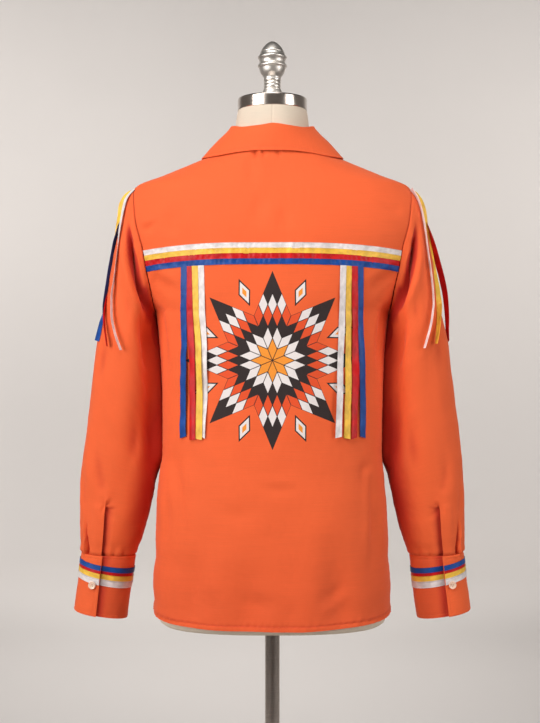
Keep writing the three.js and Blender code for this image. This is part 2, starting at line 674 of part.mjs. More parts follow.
function makeCuffRibbons() {
  const cuffDepth = 88;
  for (const row of cuffRibbons) {
    const base = 0.4 + row.layer * (ribbonWall + 0.4);
    const wounds = [0.8, ...cuffWound.slice(1, -2), 357.5];
    const grid = (lift) =>
      [row.start, row.start + row.width].map((down) =>
        wounds.map((wound) => {
          const tilt = -cuffRibbonTilt * Math.cos(cuffTurnAt(wound));
          return onCuff((down + tilt) / cuffDepth, wound, lift);
        }),
      );
    const outer = grid(base + ribbonWall);
    const inner = grid(base);
    addMesh(shirt, `cuff_ribbon_right_${row.colour}`, wallGeometry(outer, inner), row.colour, 0.35);
    const left = wallGeometry(mirrored(outer), mirrored(inner));
    addMesh(shirt, `cuff_ribbon_left_${row.colour}`, left, row.colour, 0.35);
  }
}

function makeShoulderRibbons() {
  const crowding = 1.5; // more sections near the top, where the sleeve head is round
  for (const row of shoulderRibbons) {
    const turns = [
      { t: 0, turn: row.top },
      { t: 0.35, turn: row.high },
      { t: 0.8, turn: row.low },
      { t: 1, turn: row.end },
    ];
    const grid = (lift) =>
      steps(0, 1, 11).map((step) => {
        const t = step ** crowding;
        const at = mix(0.15, row.endRing, t);
        const turn = column(turns, 't', 'turn', t) * degrees;
        const centre = sleevePoint(at, turn);
        const round = new THREE.Vector3().subVectors(sleevePoint(at, turn + 0.02), centre).normalize();
        const out = row.lift + row.bow * Math.sin(Math.PI * t ** 1.5) + lift;
        centre.addScaledVector(sleeveNormal(at, turn), out);
        return [-0.5, 0.5].map((side) => centre.clone().addScaledVector(round, side * ribbonWidth));
      });
    const outer = grid(ribbonWall);
    const inner = grid(0);
    const name = `shoulder_ribbon_${row.side > 0 ? 'right' : 'left'}_${row.colour}`;
    const geometry =
      row.side > 0 ? wallGeometry(outer, inner) : wallGeometry(mirrored(outer), mirrored(inner));
    addMesh(shirt, name, geometry, row.colour, 0.35);
  }
}

// ---- buttons ----

const buttonRadius = 5.75;
const buttonHeight = 2.4;

function makeButton(name, seat, normal) {
  const profile = [
    [0, 0],
    [buttonRadius * 0.8, 0],
    [buttonRadius, 0.9],
    [buttonRadius, buttonHeight - 0.5],
    [buttonRadius * 0.85, buttonHeight],
    [buttonRadius * 0.6, buttonHeight - 0.7],
    [0, buttonHeight - 0.7],
  ].map(([x, y]) => new THREE.Vector2(x, y));
  const mesh = addMesh(shirt, name, new THREE.LatheGeometry(profile, 16), 'button', 0.4);
  mesh.position.copy(seat);
  mesh.quaternion.setFromUnitVectors(new THREE.Vector3(0, 1, 0), normal);
}

function makeButtons() {
  const frontButtons = { topZ: 1422, pitch: 98, count: 6 };
  for (let i = 0; i < frontButtons.count; i += 1) {
    const z = frontButtons.topZ - i * frontButtons.pitch;
    const turn = turnAtX(1, z, 0);
    makeButton(`front_button_${i + 1}`, onBody(1, z, turn, frontLapRise + 0.5), bodyNormal(1, z, turn));
  }
  const onLap = { down: 0.475, wound: 14, lift: 3.2 };
  const seat = onCuff(onLap.down, onLap.wound, onLap.lift);
  const normal = onCuff(onLap.down, onLap.wound, 10).sub(onCuff(onLap.down, onLap.wound, 0)).normalize();
  makeButton('cuff_button_right', seat, normal);
  const flip = new THREE.Vector3(-1, 1, 1);
  makeButton('cuff_button_left', seat.clone().multiply(flip), normal.clone().multiply(flip));
}

// ---- dress form and stand ----

function makeForm() {
  const columns = 32;
  const rings = formSections.map(({ z, width, back, front, square }) =>
    steps(0, 2 * Math.PI, columns).slice(0, -1).map((turn) => {
      const depth = Math.sin(turn) < 0 ? back : front;
      const across = Math.abs(Math.cos(turn) / width) ** square;
      const along = Math.abs(Math.sin(turn) / depth) ** square;
      const radius = (across + along) ** (-1 / square);
      return new THREE.Vector3(radius * Math.cos(turn), radius * Math.sin(turn), z);
    }),
  );
  addMesh(stand, 'form_torso', loftGeometry(rings), 'cream', 0.9);
}

// A turned piece about the stand's axis, from a profile of [radius, height].
function addTurned(name, profile, sides, colour, roughness, metalness) {
  const geometry = new THREE.LatheGeometry(profile.map(([r, z]) => new THREE.Vector2(r, z)), sides);
  geometry.rotateX(Math.PI / 2);
  addMesh(stand, name, geometry, colour, roughness, metalness);
}

function makeStand() {
  const r = neckCapRadius;
  const topZ = capTopZ - solidGap;
  const cap = [[0, neckCapZ], [r - 0.8, neckCapZ], [r, neckCapZ + 1], [r, topZ - 2.7]];
  cap.push([r - 1, topZ - 0.9], [r - 3, topZ], [0, topZ]);
  addTurned('neck_cap', cap, 40, 'nickel', 0.3, 1);
  const finial = [
    [0, capTopZ],
    [14.4, capTopZ],
    [14.4, 1582.5],
    [12.4, 1585],
    [12.1, 1600],
    [12.8, 1602],
    [14.6, 1604.5],
    [17.3, 1608],
    [18.9, 1612],
    [19.9, 1616.3],
    [21.9, 1618.2],
    [21.9, 1620.4],
    [19.2, 1622.6],
    [19.4, 1627.6],
    [21.7, 1630.6],
    [21.7, 1633.2],
    [19.2, 1635.2],
    [17.3, 1640.5],
    [14.8, 1645.2],
    [11.5, 1650],
    [7, 1654],
    [0, 1656.5],
  ];
  addTurned('finial', finial, 28, 'nickel', 0.35, 1);
  const baseTopZ = 18;
  const poleFootZ = baseTopZ + solidGap;
  const poleTopZ = formBottomZ - solidGap;
  const pole = [[0, poleFootZ], [poleRadius, poleFootZ], [poleRadius, poleTopZ], [0, poleTopZ]];
  addTurned('pole', pole, 28, 'steel', 0.3, 1);
  const base = [
    [0, 0],
    [baseRadius - 1, 0],
    [baseRadius, 1],
    [baseRadius, 5],
    [baseRadius - 2, 7],
    [120, 9.5],
    [50, 12.5],
    [24, 14.5],
    [20, baseTopZ],
    [0, baseTopZ],
  ];
  addTurned('base', base, 56, 'steel', 0.35, 1);
}

makeBack();
makeFront('front_left', -1, frontLapRise);
makeFront('front_right', 1, 0);
makeCollar();
makeSleeves();
makeCuffs();
makeBand();
makeStreamers();
makeCuffRibbons();
makeShoulderRibbons();
makeButtons();
makeForm();
makeStand();

const ribbonShirtOnForm = new THREE.Group();
ribbonShirtOnForm.add(shirt, stand);

export default ribbonShirtOnForm;
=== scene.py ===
import math

import bmesh
import bpy
import numpy as np
from mathutils import Matrix, Vector


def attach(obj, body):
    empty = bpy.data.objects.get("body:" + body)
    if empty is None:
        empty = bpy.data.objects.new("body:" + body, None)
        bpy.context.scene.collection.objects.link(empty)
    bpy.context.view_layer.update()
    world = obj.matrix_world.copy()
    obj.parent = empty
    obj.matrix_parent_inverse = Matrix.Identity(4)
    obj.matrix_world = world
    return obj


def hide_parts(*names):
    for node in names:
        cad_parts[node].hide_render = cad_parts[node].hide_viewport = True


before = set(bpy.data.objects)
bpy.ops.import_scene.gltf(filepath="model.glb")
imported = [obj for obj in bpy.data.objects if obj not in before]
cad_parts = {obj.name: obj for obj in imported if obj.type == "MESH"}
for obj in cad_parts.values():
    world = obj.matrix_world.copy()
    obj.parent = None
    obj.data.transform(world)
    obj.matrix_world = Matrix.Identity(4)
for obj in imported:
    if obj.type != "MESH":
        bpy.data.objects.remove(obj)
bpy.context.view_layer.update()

mm = 0.001


# sizes of the shirt, as it hangs on the form

def table(names, rows):
    # columns by name; the first one is the place that the others are read at
    return {name: np.array(column, float) for name, column in zip(names.split(), zip(*rows))}


shirtValues = {
    "hemZ": 0.799,
    "hemSideRise": 0.006,      # how much higher the hem is at the side seams
    "hemFadeZ": 0.860,
    "underarmX": 0.174,
    "underarmZ": 1.250,
    "shoulderX": 0.206,
    "shoulderZ": 1.434,
    "neckX": 0.066,
    "neckZ": 1.493,
    "neckDrop": 0.055,
    "armholeDepth": 0.060,
    "armholeRound": 2.2,
    "frontOverlap": 0.015,
    "frontLapRise": 0.0022,
    "seamGap": 0.0004,
    "backGirth": 0.44,         # about how far round the torso the back goes, and each front
    "frontGirth": 0.19,
    "clothThickness": 0.0008,
    "gridStep": 0.0034,        # spacing of the cloth's mesh
}

bodyRows = table("z width back front square", [
    (0.799, 0.1780, 0.125, 0.121, 2.40),
    (0.855, 0.1765, 0.124, 0.120, 2.40),
    (0.968, 0.1710, 0.119, 0.117, 2.35),
    (1.043, 0.1640, 0.114, 0.114, 2.30),
    (1.120, 0.1645, 0.112, 0.115, 2.25),
    (1.200, 0.1685, 0.113, 0.117, 2.20),
    (1.250, 0.1740, 0.114, 0.117, 2.12),
    (1.342, 0.1900, 0.109, 0.109, 2.05),
    (1.434, 0.2060, 0.086, 0.082, 2.05),
    (1.454, 0.1615, 0.077, 0.074, 2.05),
    (1.474, 0.1125, 0.070, 0.067, 2.05),
    (1.493, 0.0660, 0.064, 0.061, 2.00),
])

armholeRows = table("z x", [
    (1.250, 0.1740),
    (1.283, 0.1780),
    (1.306, 0.1825),
    (1.339, 0.1880),
    (1.381, 0.1990),
    (1.434, 0.2060),
])

sleeveRows = table("at outX outZ inX inZ depth forward", [
    (0, 0.2060, 1.4340, 0.1740, 1.2500, 0.0600, 0.000),
    (1, 0.2180, 1.4170, 0.1760, 1.2430, 0.0605, 0.000),
    (2, 0.2250, 1.3930, 0.1746, 1.2320, 0.0620, 0.000),
    (3, 0.2335, 1.3500, 0.1714, 1.2060, 0.0630, 0.000),
    (4, 0.2420, 1.3050, 0.1690, 1.1760, 0.0630, 0.000),
    (5, 0.2500, 1.2580, 0.1672, 1.1420, 0.0610, 0.001),
    (6, 0.2610, 1.2100, 0.1662, 1.1080, 0.0580, 0.002),
    (7, 0.2700, 1.1400, 0.1660, 1.0660, 0.0540, 0.003),
    (8, 0.2785, 1.0750, 0.1690, 1.0220, 0.0500, 0.004),
    (9, 0.2855, 1.0100, 0.1775, 0.9850, 0.0450, 0.005),
    (10, 0.2885, 0.9550, 0.1870, 0.9440, 0.0410, 0.006),
    (11, 0.2882, 0.9150, 0.1970, 0.9080, 0.0370, 0.007),
    (12, 0.2862, 0.8912, 0.2071, 0.8872, 0.0306, 0.008),
    (13, 0.2856, 0.8850, 0.2084, 0.8810, 0.0290, 0.008),
])

cuffRows = table("down outX outZ inX inZ depth forward", [
    (0, 0.2866, 0.8905, 0.2066, 0.8865, 0.0310, 0.008),
    (1, 0.2980, 0.8050, 0.2185, 0.7920, 0.0315, 0.009),
])

cuffValues = {
    "lapTurn": (84, 86.4),     # degrees from the outer side to the lapping edge, at its two ends
    "lap": 28,                 # degrees that it laps over its own end
    "lapRise": 0.0044,
    "depth": 0.0905,
    "girth": 0.235,
    "thickness": 0.0012,
    "topstitch": 0.0045,
    "drift": 0.0010,           # broad unevenness
    "ripple": 0.00012,         # fine unevenness
    "pucker": 0.00022,
    "stitchDip": 0.00035,      # how far the topstitching draws the cloth in
    "ribbonTilt": (0.00485, 0.00205),   # how the ribbons rise outwards from the lap
}

# collar by degrees from centre back: height of the fold over the seam, its lean, where the
# free edge lies round the torso, that edge's height, and its stand-off
collarRows = table("turn rise lean around edgeZ lift", [
    (0, 0.0275, -0.0010, 0, 1.4800, 0.0034),
    (18, 0.0258, -0.0014, 18, 1.4800, 0.0030),
    (38, 0.0252, -0.0022, 38, 1.4785, 0.0022),
    (72, 0.0310, -0.0035, 68, 1.4745, 0.0016),
    (90, 0.0335, -0.0040, 90, 1.4772, 0.0016),
    (110, 0.0318, -0.0040, 108, 1.4640, 0.0018),
    (135, 0.0280, -0.0010, 126, 1.4240, 0.0030),
    (160, 0.0230, 0.0010, 140, 1.3920, 0.0036),
    (175, 0.0210, 0.0020, 153, 1.3780, 0.0036),
])

bandValues = {
    "topZ": 1.3445,
    "pitch": 0.0076,
    "width": 0.0082,
    "halfLength": 0.188,
    "endDrop": 0.0075,         # the ends lie lower than the middle
    "colours": ["white", "yellow", "red", "blue"],
}


# curves and small helpers

def along(rows, name, at):
    # smooth curve through one column of a table, without overshoot
    x, y = next(iter(rows.values())), rows[name]
    step = np.diff(x)
    slope = np.diff(y) / step
    tangent = np.empty_like(y)
    tangent[0], tangent[-1] = slope[0], slope[-1]
    if len(x) > 2:
        before, after = slope[:-1], slope[1:]
        a = 2 * step[1:] + step[:-1]
        b = step[1:] + 2 * step[:-1]
        same = before * after > 0
        safeBefore = np.where(same, before, 1)
        safeAfter = np.where(same, after, 1)
        tangent[1:-1] = np.where(same, (a + b) / (a / safeBefore + b / safeAfter), 0)
    at = np.clip(np.asarray(at, float), x[0], x[-1])
    i = np.clip(np.searchsorted(x, at, side="right") - 1, 0, len(x) - 2)
    h = step[i]
    t = (at - x[i]) / h
    u = 1 - t
    return (y[i] * (1 + 2 * t) * u * u + tangent[i] * h * t * u * u
            + y[i + 1] * (3 - 2 * t) * t * t - tangent[i + 1] * h * u * t * t)


def allAlong(rows, at):
    return {name: along(rows, name, at) for name in rows}


def throughPlaces(places, count=13):
    # a smooth run of values through given places, one row for each place
    even = np.arange(len(places), dtype=float)
    t = np.linspace(0, len(places) - 1, count)
    return [along({"t": even, "value": column}, "value", t) for column in np.array(places, float).T]


def runLength(points):
    # distance along a row of points, from 0 at its start
    return np.concatenate([[0], np.cumsum(np.linalg.norm(np.diff(points, axis=0), axis=1))])


def together(*values):
    # the values as arrays of one shape
    return np.broadcast_arrays(*(np.asarray(value, float) for value in values))


def mix(a, b, t):
    return a + (b - a) * t


def smooth(t):
    t = np.clip(t, 0, 1)
    return t * t * (3 - 2 * t)


def bump(distance, width):
    return np.exp(-(distance / width) ** 2)


def unit(v):
    return v / np.linalg.norm(v, axis=-1, keepdims=True)


def facing(normals, away):
    # the normals, turned round where they look against away
    against = (normals * away).sum(-1) < 0
    return np.where(against[..., None], -normals, normals)


def waves(u, v, seed, size, count=7):
    # soft unevenness from a few sine waves of about one size, between about -1 and 1
    draw = np.random.default_rng(seed)
    total = np.zeros(np.broadcast(u, v).shape)
    for _ in range(count):
        heading = draw.uniform(0, 2 * math.pi)
        pitch = size * draw.uniform(0.65, 1.7)
        phase = draw.uniform(0, 2 * math.pi)
        across = u * math.cos(heading) + v * math.sin(heading)
        total = total + np.sin(across * 2 * math.pi / pitch + phase)
    return total / math.sqrt(count)


def puckers(s, seed, pitch):
    # small uneven waves along a seam, s being the distance along it
    drift = waves(s, np.zeros_like(s), seed, pitch * 5, 4)
    strength = 0.6 + 0.4 * waves(s, np.zeros_like(s), seed + 1, pitch * 7, 4)
    return np.sin(2 * math.pi * s / pitch + 1.7 * drift) * strength


def crease(path, width, depth, lip, ease, steep=1.0):
    # steep is how much narrower it is on the left of its run, seen from outside
    widths = np.broadcast_to(width, 2) * mm
    return {"path": path, "widths": widths, "depth": depth * mm, "lip": lip, "ease": ease, "steep": steep}


def creaseDepth(points, outward, creases):
    # each crease is a soft trough along a path, with a lip of cloth pushed up on one side
    lift = np.zeros(points.shape[:-1])
    for crease in creases:
        path, widths = crease["path"], crease["widths"]
        reach = 3.4 * max(widths)
        near = np.all((points > path.min(0) - reach) & (points < path.max(0) + reach), axis=-1)
        if not near.any():
            continue
        p = points[near]
        start, run = path[:-1], np.diff(path, axis=0)
        off = p[:, None] - start[None]
        t = np.clip((off * run).sum(-1) / (run * run).sum(-1), 0, 1)
        off = off - t[..., None] * run
        distance = np.linalg.norm(off, axis=-1)
        k = distance.argmin(1)
        each = np.arange(len(p))
        nearest, off = distance[each, k], off[each, k]
        place = (k + t[each, k]) / len(run)
        side = np.sign((np.cross(run[k], off) * outward[near]).sum(-1))
        width = mix(*widths, place)
        fade = smooth(place / crease["ease"][0]) * smooth((1 - place) / crease["ease"][1])
        trough = bump(nearest / np.where(side < 0, crease["steep"], 1), width)
        lip = crease["lip"]
        trough = trough - abs(lip) * bump(side * nearest * np.sign(lip) - 1.7 * width, 0.9 * width)
        lift[near] -= crease["depth"] * fade * trough
    return lift


# the torso surface: face is -1 for the back and 1 for the fronts

def armholeY(z):
    low, high = shirtValues["underarmZ"], shirtValues["shoulderZ"]
    reach = np.abs(z - (low + high) / 2) / ((high - low) / 2)
    power = shirtValues["armholeRound"]
    return shirtValues["armholeDepth"] * np.clip(1 - reach ** power, 0, None) ** (1 / power)


def bodySection(face, z):
    depth = along(bodyRows, "back" if face < 0 else "front", z)
    square = along(bodyRows, "square", z)
    seam = along(armholeRows, "x", z) / (1 - (armholeY(z) / depth) ** square) ** (1 / square)
    beside = (z > shirtValues["underarmZ"]) & (z < shirtValues["shoulderZ"])
    return depth, square, np.where(beside, seam, along(bodyRows, "width", z))


def bodyPoint(face, z, turn):
    depth, square, width = bodySection(face, z)
    spread = np.abs(np.cos(turn) / width) ** square + np.abs(np.sin(turn) / depth) ** square
    radius = spread ** (-1 / square)
    return np.stack(np.broadcast_arrays(radius * np.cos(turn), face * radius * np.sin(turn), z), -1)


def turnAtX(face, z, x):
    depth, square, width = bodySection(face, z)
    reach = np.clip(np.abs(x) / width, 0, 1)
    return np.arctan2(depth * (1 - reach ** square) ** (1 / square), x)


def turnAtEdge(z):
    depth = armholeY(z)
    gap = shirtValues["seamGap"]
    beside = np.arctan2(depth, along(armholeRows, "x", z))
    return np.where(depth > gap, beside, gap / 2 / along(bodyRows, "width", z))


def turnFromEdge(z, turn):
    edge = turnAtEdge(z)
    return np.clip(np.minimum(turn - edge, math.pi - edge - turn), 0, None)


def bodyNormal(face, z, turn):
    point = bodyPoint(face, z, turn)
    down = bodyPoint(face, z - 0.0005, turn) - point
    around = bodyPoint(face, z, turn + 0.002) - point
    return facing(unit(np.cross(down, around)), point * np.array([1, 1, 0]))


def hemRise(z, turn):
    low, fade = shirtValues["hemZ"], shirtValues["hemFadeZ"]
    return shirtValues["hemSideRise"] * np.abs(np.cos(turn)) ** 4 * smooth((fade - z) / (fade - low))


# creases, a row for each: (x, z) places along it, its width, at both ends where
# that differs, and its depth, all in millimetres; the share of its depth that the cloth beside
# it stands up, minus on its other side; and the shares of its length that it starts and ends in
backCreaseRows = [
    # soft hollows above the hem
    ([(-112, 930), (-118, 780)], 20, 3.5, 0.3, (0.5, 0.3)),
    ([(-90, 862), (-82, 800)], 11, 1.2, -0.4, (0.5, 0.2)),
    ([(-36, 905), (-34, 780)], 22, 3, 0.2, (0.5, 0.3)),
    ([(24, 850), (20, 790)], 12, 1.2, 0.4, (0.5, 0.2)),
    ([(84, 960), (92, 870), (104, 780)], 23, 4, -0.3, (0.5, 0.3)),
    ([(112, 868), (80, 846), (52, 838)], 9, 1.4, 0.5, (0.4, 0.6)),
    ([(-60, 852), (-20, 836), (30, 842)], 12, 1.1, 0.4, (0.5, 0.5)),
    # at the waist
    ([(-142, 1055), (-137, 1010), (-131, 975)], 11, 2.1, 0.45, (0.5, 0.5)),
    ([(-157, 1000), (-152, 955), (-156, 900)], 9, 1.8, -0.4, (0.5, 0.5)),
    ([(147, 1034), (130, 1018), (136, 985)], 8, 2.2, 0.4, (0.4, 0.5)),
    ([(158, 985), (151, 930), (156, 880)], 10, 1.8, 0.4, (0.5, 0.5)),
    ([(-30, 1000), (10, 996), (52, 999)], 7, 0.9, 0.6, (0.5, 0.5)),
    ([(-95, 972), (-50, 960), (-10, 966)], 12, 0.9, 0.4, (0.5, 0.5)),
    # under the arms, from the armhole down to the side
    ([(-166, 1262), (-157, 1200), (-154, 1130)], 11, 2.6, 0.4, (0.1, 0.6)),
    ([(167, 1266), (157, 1205), (153, 1140)], 11, 2.6, -0.4, (0.1, 0.6)),
    ([(-174, 1300), (-150, 1283), (-128, 1276)], 9, 1.6, 0.5, (0.1, 0.6)),
    ([(176, 1304), (152, 1288), (134, 1270)], 9, 1.6, -0.5, (0.1, 0.6)),
    # between the shoulders
    ([(-186, 1366), (-176, 1372), (-160, 1384)], 6, 2, 0.5, (0.1, 0.7)),
    ([(-142, 1405), (-147, 1352)], 15, 2, 0.3, (0.5, 0.4)),
    ([(-22, 1420), (-22, 1360)], 12, 1.4, 0.4, (0.5, 0.5)),
    ([(18, 1405), (20, 1356)], 10, 1, -0.4, (0.5, 0.5)),
    # tucks where the collar is sewn on
    ([(-26, 1482), (-20, 1464)], 3.8, 2.1, 0.5, (0.1, 0.6)),
    ([(-15, 1482), (-11, 1468)], 3, 1.6, -0.5, (0.1, 0.6)),
    ([(7, 1482), (13, 1469)], 3.2, 1.2, 0.5, (0.1, 0.6)),
    ([(-32, 1478), (-29, 1420)], 8.5, 1.4, 0.3, (0.2, 0.6)),
    # beside the side seams
    ([(141, 1040), (145, 960), (140, 850)], 7.5, 1.6, -0.7, (0.4, 0.4)),
    ([(-134, 1016), (-128, 930)], 7.5, 1.3, 0.6, (0.4, 0.4)),
    ([(187, 1392), (168, 1398), (148, 1410)], 7, 1.2, 0.5, (0.1, 0.7)),
    # between the streamers
    ([(72, 1300), (76, 1200), (70, 1110)], 16, 1.2, 0.3, (0.4, 0.5)),
    ([(-64, 1120), (-70, 1060), (-60, 1010)], 14, 1.2, 0.3, (0.5, 0.5)),
]

# on the fronts: above the hem, under the arms, and across the chest and the waist
frontCreaseRows = [
    ([(-96, 940), (-104, 780)], 22, 4, 0.3, (0.5, 0.3)),
    ([(-50, 900), (-58, 790)], 14, 1.8, -0.3, (0.5, 0.2)),
    ([(62, 960), (70, 780)], 24, 3.5, 0.3, (0.5, 0.3)),
    ([(128, 900), (132, 780)], 18, 3, -0.3, (0.5, 0.3)),
    ([(-166, 1264), (-152, 1206), (-146, 1120)], 12, 2.6, 0.4, (0.1, 0.6)),
    ([(166, 1262), (154, 1196), (150, 1110)], 12, 2.6, -0.4, (0.1, 0.6)),
    ([(-176, 1312), (-140, 1330), (-104, 1352)], 10, 1.8, 0.4, (0.1, 0.6)),
    ([(176, 1306), (142, 1318), (108, 1346)], 10, 1.8, -0.4, (0.1, 0.6)),
    ([(-176, 1290), (-150, 1276), (-116, 1268)], 8, 1.4, -0.4, (0.1, 0.6)),
    ([(-148, 1060), (-128, 1012), (-120, 960)], 12, 2, 0.4, (0.5, 0.5)),
    ([(150, 1040), (132, 1000), (126, 950)], 11, 2, -0.4, (0.5, 0.5)),
    ([(100, 1090), (60, 1070), (28, 1076)], 9, 1, 0.5, (0.5, 0.5)),
    ([(-24, 1170), (-60, 1156), (-94, 1166)], 10, 1.1, 0.5, (0.5, 0.5)),
    ([(24, 985), (58, 968), (92, 976)], 10, 1, -0.5, (0.5, 0.5)),
]


def bodyCrease(face, places, *look):
    x, z = throughPlaces(np.array(places) * mm)
    return crease(bodyPoint(face, z, turnAtX(face, z, x)), *look)


bodyCreases = {
    face: [bodyCrease(face, *row) for row in rows]
    for face, rows in ((-1, backCreaseRows), (1, frontCreaseRows))
}

# how far the side edges bulge or draw in, on the wearer's left and on the right
sideRows = table("z left right", [
    (0.799, 0.0000, -0.0016),
    (0.812, 0.0008, -0.0020),
    (0.821, -0.0005, -0.0024),
    (0.845, 0.0012, -0.0004),
    (0.868, 0.0003, -0.0010),
    (0.886, -0.0016, -0.0026),
    (0.910, 0.0002, -0.0012),
    (0.960, 0.0016, -0.0012),
    (0.985, 0.0022, -0.0016),
    (1.012, 0.0022, 0.0002),
    (1.040, 0.0000, 0.0000),
])

bodyDetail = {
    "round": 0.14,             # about the torso's radius
    "creases": 1.6,            # strength of the listed creases
    "drift": 0.0010,           # broad unevenness
    "ripple": 0.00012,         # fine unevenness
    "seamRoll": 0.0006,        # cloth turning in at a seam
    "seamRollWidth": 0.0014,
    "pucker": 0.00042,
    "hemDepth": 0.0070,        # height of the turned-up hem
    "hemRoll": 0.0006,         # how far the turned-up cloth stands off
    "hemDip": 0.0008,          # how far its stitching draws it in
    "hemPucker": 0.0011,
    "hemFlare": 0.0011,
    "bandPull": 0.00055,       # how far the ribbon band draws the cloth in
    "bandHeight": 0.030,
    "frontBand": 0.030,        # width of the front band that the buttons are on
    "frontBandRise": 0.0003,
    "frontBandDip": 0.00035,
    "frontBandPucker": 0.00025,
}


def bodyLift(face, z, turn, point, outward):
    # all that lifts or sinks the cloth of the torso, over its plain section
    v = bodyDetail
    fromEdge = turnFromEdge(z, turn) * np.hypot(point[..., 0], point[..., 1])
    side = np.where(turn < math.pi / 2, 1, -1)
    s = turn * v["round"]
    held = smooth(fromEdge / 0.03)
    loose = held * mix(1, 0.35, smooth((z - 1.34) / 0.06))
    bulge = np.where(turn > math.pi / 2, along(sideRows, "left", z), along(sideRows, "right", z))
    seamRun = point[..., 2] + 0.4 * np.abs(point[..., 0]) + 0.01 * side
    high, hem = z - shirtValues["hemZ"], v["hemDepth"]
    lifts = [
        v["creases"] * creaseDepth(point, outward, bodyCreases[face]) * smooth(fromEdge / 0.006 + 0.25),
        v["drift"] * loose * waves(s, z * 0.7, 31 + face, 0.115),
        0.42 * v["drift"] * loose * waves(s, z * 0.8, 35 + face, 0.045),
        v["ripple"] * waves(s, z, 41 + face, 0.013),
        bulge * np.abs(np.cos(turn)) ** 7 * smooth((1.04 - z) / 0.02),
        # puckers and the turned edge beside the armhole, side and shoulder seams
        v["pucker"] * bump(fromEdge, 0.006) * puckers(seamRun, 51 + face, 0.0095),
        -v["seamRoll"] * bump(fromEdge, v["seamRollWidth"]),
        # hem: turned up twice, so it stands off and draws in along its stitching
        v["hemRoll"] * smooth((hem + 0.0008 - high) / 0.0016),
        -v["hemDip"] * bump(high - hem, 0.0013),
        v["hemPucker"] * bump(high - hem * 1.1, 0.0065) * puckers(s + 0.5 * high, 61 + face, 0.0105),
        v["hemFlare"] * smooth(1 - high / 0.09) ** 2 * waves(s, z * 0, 64 + face, 0.11, 5),
    ]
    if face < 0:
        below = bandValues["topZ"] - z
        onBand = smooth(1.4 - np.abs(below - v["bandHeight"] / 2) / 0.016)
        lifts.append(v["bandPull"] * onBand * held * puckers(s, 71, 0.0165))
    else:
        fold = np.abs(point[..., 0]) - v["frontBand"] / 2
        lifts += [
            v["frontBandRise"] * smooth(0.5 - fold / 0.0012),
            -v["frontBandDip"] * bump(fold + 0.001, 0.0009),
            v["frontBandPucker"] * bump(fold, 0.006) * puckers(z, 74, 0.011),
        ]
    return sum(lifts)


def bodyPaintedShade(z, turn):
    # painted shade, 0 to 1: darker where the cloth is drawn in along the hem's stitching and beside the
    # seams, and darker towards the hem
    z, turn = np.broadcast_arrays(z, turn)
    high = z - shirtValues["hemZ"] - bodyDetail["hemDepth"]
    fromEdge = turnFromEdge(z, turn) * 0.19
    return 0.4 * bump(high, 0.0012) + 0.35 * bump(fromEdge, 0.0012) + 0.16 * smooth((0.17 - high) / 0.17)


def onBody(face, z, turn, lift=0.0):
    z, turn = together(z, turn)
    point, normal = bodyPoint(face, z, turn), bodyNormal(face, z, turn)
    return point + normal * (lift + bodyLift(face, z, turn, point, normal))[..., None]


# the sleeve surface, worked out for the right side: at runs from the armhole (0) to the cuff (12)

def ringPoint(ring, turn):
    c = np.cos(turn)
    power = shirtValues["armholeRound"]
    s = np.sign(np.sin(turn)) * (1 - np.abs(c) ** power) ** (1 / power)
    share = (1 + c) / 2
    return np.stack([
        mix(ring["inX"], ring["outX"], share),
        ring["forward"] - ring["depth"] * s,
        mix(ring["inZ"], ring["outZ"], share),
    ], -1)


def sleevePoint(at, turn):
    at, turn = together(at, turn)
    point = ringPoint(allAlong(sleeveRows, at), turn)
    share = (1 + np.cos(turn)) / 2
    v = shirtValues
    seamX = mix(v["underarmX"], v["shoulderX"], share)
    seamZ = mix(v["underarmZ"], v["shoulderZ"], share)
    point[..., 0] += v["seamGap"] + (along(armholeRows, "x", seamZ) - seamX) * smooth(1 - at / 4)
    return point


def sleeveNormal(at, turn):
    point = sleevePoint(at, turn)
    middle = (sleevePoint(at, turn + math.pi) + point) / 2
    ahead = np.where(at < 12.98, at + 0.01, at - 0.01)
    normal = unit(np.cross(sleevePoint(ahead, turn) - point, sleevePoint(at, turn + 0.01) - point))
    return facing(normal, point - middle)


backAt, backTurn = (a.ravel() for a in np.meshgrid(
    np.linspace(0, 12, 481), np.radians(np.linspace(0, 180, 361)), indexing="ij"))
backPoints = sleevePoint(backAt, backTurn)


def sleevePlaces(x, z):
    # the rings and turns at which the back of the right sleeve lies at each x and z
    nearest = [((backPoints[:, 0] - a) ** 2 + (backPoints[:, 2] - b) ** 2).argmin() for a, b in zip(x, z)]
    return backAt[nearest], backTurn[nearest]


